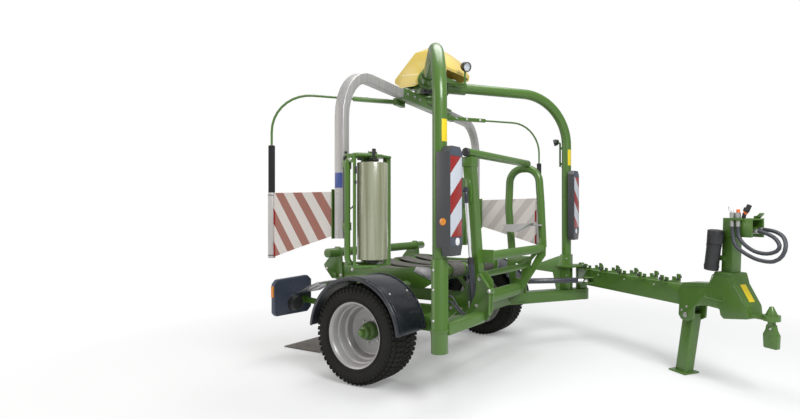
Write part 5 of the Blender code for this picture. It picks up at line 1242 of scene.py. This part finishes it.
def build_cylinders():
    """The two hydraulic cylinders with the lift cylinder's gland, line, unions and rod end."""
    for kind in ("lift", "swing"):
        put(from_node(kind + "_cylinder_barrel", 0.0015), kind + "_barrel_shell", cylinder_black(),
            kind + "_barrel", [kind + "_cylinder_barrel"])
        rod = put(from_node(kind + "_cylinder_rod", 0.001), kind + "_rod_shell", chrome(), kind + "_rod",
                  [kind + "_cylinder_rod"])
        rod.data.materials.append(cylinder_black())
        if kind == "lift":
            # The eye is painted like the barrel
            for face in rod.data.polygons:
                if (face.center - SHIFT @ LIFT_EYE).length < 0.06:
                    face.material_index = 1
    way = (LIFT_EYE - LIFT_FOOT).normalized()
    gland = new_turned([(0.0160, 0.4635), (0.0245, 0.4635), (0.0272, 0.460), (0.0272, 0.415),
                        (0.0262, 0.410), (0.0160, 0.410)], LIFT_FOOT, way, 32)
    trim([gland], "lift_gland", black(), "lift_barrel")
    top, low = LIFT_FOOT + way * 0.40, LIFT_FOOT + way * 0.06
    left = Vector((-0.030, -0.012, 0.0))
    line = new_tube([top + left * 0.85, top + left * 1.2, LIFT_FOOT + way * 0.20 + left * 1.25,
                     low + left * 1.2], 0.0050, 0.010, 6, 12)
    trim([line], "lift_line", cylinder_black(), "lift_barrel")
    unions = [new_rod(top + left * 0.83, top + left * 1.15, 0.0095, 16, bevel=0.001),
              new_rod(low + left * 1.2 + way * 0.05, low + left * 1.2 - way * 0.005, 0.0085, 16, bevel=0.001),
              new_rod(low + left * 0.83, low + left * 1.3, 0.0095, 16, bevel=0.001)]
    trim(unions, "lift_unions", steel(), "lift_barrel")
    collar = new_rod(LIFT_EYE - way * 0.110, LIFT_EYE - way * 0.017, 0.0195, 28, bevel=0.002)
    trim([collar], "lift_rod_end", cylinder_black(), "lift_rod")


LONG_HOSE = (
    (2.140, -0.105, 1.3447), (2.140, -0.105, 1.285), (2.150, -0.108, 1.215), (2.181, -0.115, 1.148),
    (2.281, -0.120, 1.090), (2.387, -0.120, 1.056), (2.493, -0.110, 1.054), (2.550, -0.095, 1.099),
    (2.557, -0.070, 1.168), (2.510, -0.030, 1.228), (2.420, 0.010, 1.262), (2.325, 0.028, 1.275),
    (2.2623, 0.028, 1.275))
SHORT_HOSE = (
    (2.182, -0.0925, 1.3447), (2.182, -0.0925, 1.285), (2.190, -0.097, 1.225), (2.235, -0.104, 1.172),
    (2.325, -0.100, 1.118), (2.421, -0.090, 1.104), (2.490, -0.072, 1.128), (2.500, -0.058, 1.170),
    (2.440, -0.040, 1.225), (2.325, -0.028, 1.262), (2.2623, -0.028, 1.262))
HOSE_RADIUS = 0.0146


def build_hoses():
    """The two hydraulic hoses that hang from the drawbar's holder in loops, with their ferrules."""
    placing = on_drawbar()
    ferrules = []
    for name, route in (("long", LONG_HOSE), ("short", SHORT_HOSE)):
        line = [placing @ point for point in flowing(route, 0.03)]
        hose = new_tube(line, HOSE_RADIUS, sides=20)
        put(hose, "hose_" + name, hose_look(), "drawbar", ["drawbar_hose_" + name], 40.0)
        top, end = Vector(route[0]), Vector(route[-1])
        ferrules += [new_rod(top, top - Vector((0, 0, 0.048)), 0.0172, 24, bevel=0.0015),
                     new_rod(end, end + Vector((0.045, 0, 0)), 0.0172, 24, bevel=0.0015),
                     new_rod((top.x, top.y, 1.3602), (top.x, top.y, 1.404), 0.0205, 6, bevel=0.0015)]
    trim(ferrules, "hose_ferrules", steel(), "drawbar", placing)


def build_drawbar():
    """Beam, headstock, hitch, canister and jack stand, with what is fixed to them."""
    edge = settings().edge
    dress_nodes([("drawbar_beam", green(), "drawbar", "green_paint", edge),
                 ("headstock", green(), "drawbar", "green_paint", edge),
                 ("hitch_tongue", green(), "drawbar", "green_paint", edge),
                 ("jack_stand", green(), "stand", "green_paint", edge),
                 ("tool_canister", black(), "drawbar", "black_plastic", 0.004)])
    placing = on_drawbar()
    build_rack_knobs(placing)
    build_drawbar_beads(placing)
    build_drawbar_bolts(placing)
    build_couplings(placing)
    slope = math.degrees(math.atan2(0.155, 0.105))
    label = new_box((0.150, 0.060, 0.0012), (2.190, 0.0, 0.7800), (0, slope, 0), 0.0004)
    trim([label], "headstock_label", label_yellow(), "drawbar", placing)
    bands = [new_turned([(0.0560, -0.010), (0.0585, -0.009), (0.0585, 0.009), (0.0560, 0.010)],
                        CANISTER_FOOT + CANISTER_LEAN * share, CANISTER_LEAN, 40) for share in (0.12, 0.78)]
    lid = new_turned([(0.0, 0.004), (0.050, 0.004), (0.058, 0.0), (0.058, -0.004), (0.0, -0.004)],
                     (1.995, -0.118, 1.2625), (0.010, 0.0, 0.102), 40)
    trim(bands + [lid], "canister_straps", black(), "drawbar", placing)


def build_rack_knobs(placing):
    """The black knobs and pads of the film racks, a pair on each."""
    knobs = []
    for number in range(RACK_COUNT):
        x = RACK_START + RACK_PITCH * number
        for side, _ in SIDES:
            knobs.append(new_turned([(0.0, 0.026), (0.010, 0.024), (0.0155, 0.016), (0.0155, 0.006),
                                     (0.008, 0.0), (0.0, 0.0)], (x, side * 0.105, 0.812), (0, side, 0), 24))
            knobs.append(new_box((0.050, 0.030, 0.010), (x, side * 0.072, 0.7925), bevel=0.003))
    trim(knobs, "rack_knobs", black(), "drawbar", placing)


def build_drawbar_beads(placing):
    """Weld beads and folds on the headstock's cheeks, and the rim of the tongue's slot."""
    beads = []
    for side, _ in SIDES:
        y = side * (CHEEK_SIDE - 0.0003)
        beads.append(new_tube([(1.845, y, 0.742), (1.855, y, 0.705), (2.030, y, 0.697), (2.052, y, 0.732)],
                              0.0055, 0.02, 6, 12))
        beads.append(new_tube([(1.60, y, 0.775), (1.885, y, 0.800), (1.930, y, 0.905), (2.105, y, 0.905),
                               (2.128, y, 0.840), (2.228, y, 0.690)], 0.0035, 0.02, 6, 12))
        slot = [(2.385, 0.425), (2.410, 0.425), (2.410, 0.505), (2.385, 0.505)]
        beads.append(new_tube([(x, side * TONGUE_SIDE, z) for x, z in slot], 0.0030, 0.010, 4, 12, True))
    trim(beads, "headstock_beads", green(), "drawbar", placing)


def build_drawbar_bolts(placing):
    """The stand's pin, the cheek's and the tongue's bolts, and cap nuts along the beam."""
    heads = []
    for side, _ in SIDES:
        out = (0, side, 0)
        heads += bolts_at([((1.641, side * 0.088, 0.527), out)], 0.016, 0.011)
        heads += bolts_at([((x, side * CHEEK_SIDE, z), out) for x, z in ((1.652, 0.598), (1.598, 0.560))],
                          0.008, 0.007)
        heads += domes_at([((2.396, side * TONGUE_SIDE, 0.548), out)], 0.012, 0.008)
        heads += domes_at([((0.40 + 0.42 * number, side * 0.0652, 0.735), out) for number in range(3)],
                          0.008, 0.006)
    trim(heads, "drawbar_bolts", steel(), "drawbar", placing)


def build_couplings(placing):
    """The couplings' caps with a strap, the parked plug and the holder's hook."""
    first, second = COUPLINGS
    caps = [new_rod(first, first + Vector((0, 0, 0.025)), 0.0135, 24, bevel=0.003),
            new_tube(flowing([(2.140, -0.105, 1.420), (2.118, -0.112, 1.452), (2.098, -0.098, 1.432),
                              (2.112, -0.086, 1.404)], 0.01), 0.0032, sides=12)]
    trim(caps, "coupling_caps_white", white_plastic(), "drawbar", placing)
    caps = [new_rod(second, second + Vector((0, 0, 0.027)), 0.0135, 24, bevel=0.003),
            new_rod((2.206, -0.050, 1.398), (2.219, -0.048, 1.410), 0.0170, 24, bevel=0.002)]
    trim(caps, "coupling_caps_orange", orange_plastic(), "drawbar", placing)
    plug = [new_rod((2.195, -0.052, 1.359), PLUG_FOOT, 0.0150, 24, bevel=0.002),
            new_rod(PLUG_NECK, (2.244, -0.044, 1.462), 0.0185, 24, bevel=0.005),
            new_box((0.022, 0.030, 0.030), (2.232, -0.072, 1.428), (0, 24, 0), 0.004)]
    trim(plug, "parked_plug", black(), "drawbar", placing)
    hook = new_plate([(2.235, 1.3595), (2.262, 1.3595), (2.292, 1.385), (2.300, 1.396), (2.288, 1.402),
                      (2.262, 1.380), (2.235, 1.378)], 0.040, "XZ", 0.030, bevel=0.0015)
    trim([hook], "holder_hook", green(), "drawbar", placing)


# Stage

CAMERA_PLACE = at(3.126, -4.462, 1.405)
CAMERA_WAY = Vector((-0.4887, 0.8724, 0.0))
CAMERA_LENS = 24.008
CAMERA_SHIFT = (-0.0999, 0.0037)
LAMPS = (
    # name, place, point looked at, size, power in watts, colour
    ("key", (4.5, -3.5, 5.5), (0.0, 0.0, 0.9), 2.4, 380.0, (0.97, 0.98, 1.0)),
    ("top", (-0.5, 0.5, 6.5), (0.0, 0.0, 0.5), 4.0, 220.0, (1.0, 1.0, 1.0)),
    ("fill", (-5.0, -4.5, 3.0), (0.0, 0.0, 0.9), 3.5, 90.0, (1.0, 0.95, 0.88)))


def blended(tree, share, first, second, target):
    """Two shaders mixed by a share into an output."""
    mix = node(tree, "ShaderNodeMixShader")
    for slot, value in enumerate((share, first, second)):
        feed(tree, mix.inputs[slot], value)
    feed(tree, target, mix.outputs[0])


def rays_seen(tree, first, second):
    """1 for rays of either of two kinds, else 0."""
    rays = node(tree, "ShaderNodeLightPath").outputs
    return calc(tree, "MAXIMUM", rays[first], rays[second])


def stage_floor_look():
    """A pale floor that keeps the object's shadow and fades to the white background."""
    made = bpy.data.materials.new("stage_floor")
    made.use_nodes = True
    tree = made.node_tree
    shader = tree.nodes["Principled BSDF"]
    shader.inputs["Base Color"].default_value = (0.80, 0.80, 0.80, 1.0)
    shader.inputs["Roughness"].default_value = 0.7
    glow = node(tree, "ShaderNodeEmission")
    glow.inputs["Strength"].default_value = 1.0
    reach = node(tree, "ShaderNodeVectorMath", operation="LENGTH")
    feed(tree, reach.inputs[0], node(tree, "ShaderNodeTexCoord").outputs["Object"])
    fade = ramp(tree, reach.outputs["Value"], 2.2, 4.6, 0.22, 1.0)
    share = calc(tree, "MULTIPLY", fade, rays_seen(tree, "Is Camera Ray", "Is Glossy Ray"))
    surface = tree.nodes["Material Output"].inputs["Surface"]
    blended(tree, share, shader.outputs[0], glow.outputs[0], surface)
    return made


def build_world():
    """A white background, with softer light from it."""
    world = bpy.data.worlds.new("studio")
    bpy.context.scene.world = world
    world.use_nodes = True
    tree = world.node_tree
    lit = tree.nodes["Background"]
    lit.inputs["Color"].default_value = (0.98, 0.99, 1.0, 1.0)
    lit.inputs["Strength"].default_value = 0.46
    shown = node(tree, "ShaderNodeBackground")
    shown.inputs["Color"].default_value = (1.0, 1.0, 1.0, 1.0)
    shown.inputs["Strength"].default_value = 1.0
    seen = rays_seen(tree, "Is Camera Ray", "Is Transmission Ray")
    blended(tree, seen, lit.outputs[0], shown.outputs[0], tree.nodes["World Output"].inputs["Surface"])


def add_light(name, place, aim, size, power, colour):
    """A soft area lamp that looks at a point."""
    bpy.ops.object.select_all(action="DESELECT")
    turn = (Vector(aim) - Vector(place)).to_track_quat("-Z", "Y").to_euler()
    bpy.ops.object.light_add(type="AREA", location=place, rotation=turn)
    lamp = bpy.context.object
    lamp.name = name
    lamp.data.size = size
    lamp.data.energy = power
    lamp.data.color = colour


def build_stage():
    """Camera, floor, world and lamps."""
    scene = bpy.context.scene
    scene.view_settings.view_transform = "Standard"
    bpy.ops.object.select_all(action="DESELECT")
    bpy.ops.object.camera_add(location=CAMERA_PLACE, rotation=CAMERA_WAY.to_track_quat("-Z", "Y").to_euler())
    scene.camera = bpy.context.object
    view = scene.camera.data
    view.sensor_width = 36.0
    view.lens = CAMERA_LENS
    view.shift_x, view.shift_y = CAMERA_SHIFT
    bpy.ops.object.select_all(action="DESELECT")
    bpy.ops.mesh.primitive_plane_add(size=40.0, location=(0.0, 0.0, -0.001))
    floor = bpy.context.object
    floor.name = "stage_floor"
    floor.data.materials.append(stage_floor_look())
    build_world()
    for row in LAMPS:
        add_light(*row)


# Operators

class WRAPPER_OT_stage(bpy.types.Operator):
    """Camera, floor, background and lamps"""
    bl_idname = "wrapper.stage"
    bl_label = "Stage"

    def execute(self, context):
        build_stage()
        return {"FINISHED"}


class WRAPPER_OT_hoses(bpy.types.Operator):
    """Hydraulic hoses parked on the drawbar"""
    bl_idname = "wrapper.hoses"
    bl_label = "Hoses"

    def execute(self, context):
        build_hoses()
        return {"FINISHED"}


class WRAPPER_OT_wheels(bpy.types.Operator):
    """Tyres with block tread, dished rims and hubs"""
    bl_idname = "wrapper.wheels"
    bl_label = "Wheels"

    def execute(self, context):
        build_wheel(-1, "right")
        build_wheel(1, "left")
        return {"FINISHED"}


class WRAPPER_OT_frame(bpy.types.Operator):
    """Welded frame and gantry"""
    bl_idname = "wrapper.frame"
    bl_label = "Frame and gantry"

    def execute(self, context):
        build_frame()
        return {"FINISHED"}


class WRAPPER_OT_hood(bpy.types.Operator):
    """Yellow hood over the satellite's drive"""
    bl_idname = "wrapper.hood"
    bl_label = "Hood"

    def execute(self, context):
        build_hood()
        return {"FINISHED"}


class WRAPPER_OT_fenders(bpy.types.Operator):
    """Fenders over the wheels"""
    bl_idname = "wrapper.fenders"
    bl_label = "Fenders"

    def execute(self, context):
        build_fenders()
        return {"FINISHED"}


class WRAPPER_OT_boards(bpy.types.Operator):
    """Warning boards in their housings"""
    bl_idname = "wrapper.boards"
    bl_label = "Warning boards"

    def execute(self, context):
        build_warning_panels()
        return {"FINISHED"}


class WRAPPER_OT_rear(bpy.types.Operator):
    """Light panels, treads and drop mat"""
    bl_idname = "wrapper.rear"
    bl_label = "Rear"

    def execute(self, context):
        build_rear()
        return {"FINISHED"}


class WRAPPER_OT_satellite(bpy.types.Operator):
    """Turning beam, arms, rods, flags and dispensers"""
    bl_idname = "wrapper.satellite"
    bl_label = "Satellite"

    def execute(self, context):
        build_satellite()
        return {"FINISHED"}


class WRAPPER_OT_table(bpy.types.Operator):
    """Tipping table and its belts"""
    bl_idname = "wrapper.table"
    bl_label = "Table"

    def execute(self, context):
        build_table()
        return {"FINISHED"}


class WRAPPER_OT_loading_arm(bpy.types.Operator):
    """Loading arm with its hoop and guide"""
    bl_idname = "wrapper.loading_arm"
    bl_label = "Loading arm"

    def execute(self, context):
        build_loading_arm()
        return {"FINISHED"}


class WRAPPER_OT_cylinders(bpy.types.Operator):
    """Lift and swing cylinders"""
    bl_idname = "wrapper.cylinders"
    bl_label = "Cylinders"

    def execute(self, context):
        build_cylinders()
        return {"FINISHED"}


class WRAPPER_OT_drawbar(bpy.types.Operator):
    """Drawbar, headstock, hitch and jack stand"""
    bl_idname = "wrapper.drawbar"
    bl_label = "Drawbar"

    def execute(self, context):
        build_drawbar()
        return {"FINISHED"}


STEPS = (WRAPPER_OT_stage, WRAPPER_OT_hoses, WRAPPER_OT_wheels, WRAPPER_OT_frame, WRAPPER_OT_hood,
         WRAPPER_OT_fenders, WRAPPER_OT_boards, WRAPPER_OT_rear, WRAPPER_OT_satellite, WRAPPER_OT_table,
         WRAPPER_OT_loading_arm, WRAPPER_OT_cylinders, WRAPPER_OT_drawbar)


class WRAPPER_PT_panel(bpy.types.Panel):
    """Lists the settings and the steps"""
    bl_label = "Bale wrapper"
    bl_space_type = "VIEW_3D"
    bl_region_type = "UI"
    bl_category = "Bale wrapper"

    def draw(self, context):
        column = self.layout.column()
        for name in ("green", "yellow", "aluminium", "film", "lug_height", "edge"):
            column.prop(context.scene.bale_wrapper, name)
        for step in STEPS:
            column.operator(step.bl_idname)


CLASSES = (WrapperSettings,) + STEPS + (WRAPPER_PT_panel,)


def register():
    for item in CLASSES:
        bpy.utils.register_class(item)
    bpy.types.Scene.bale_wrapper = bpy.props.PointerProperty(type=WrapperSettings)


def unregister():
    del bpy.types.Scene.bale_wrapper
    for item in reversed(CLASSES):
        bpy.utils.unregister_class(item)


def main():
    """Builds the stage and every piece."""
    register()
    for step in STEPS:
        group, name = step.bl_idname.split(".")
        getattr(getattr(bpy.ops, group), name)()


if __name__ == "__main__":
    main()
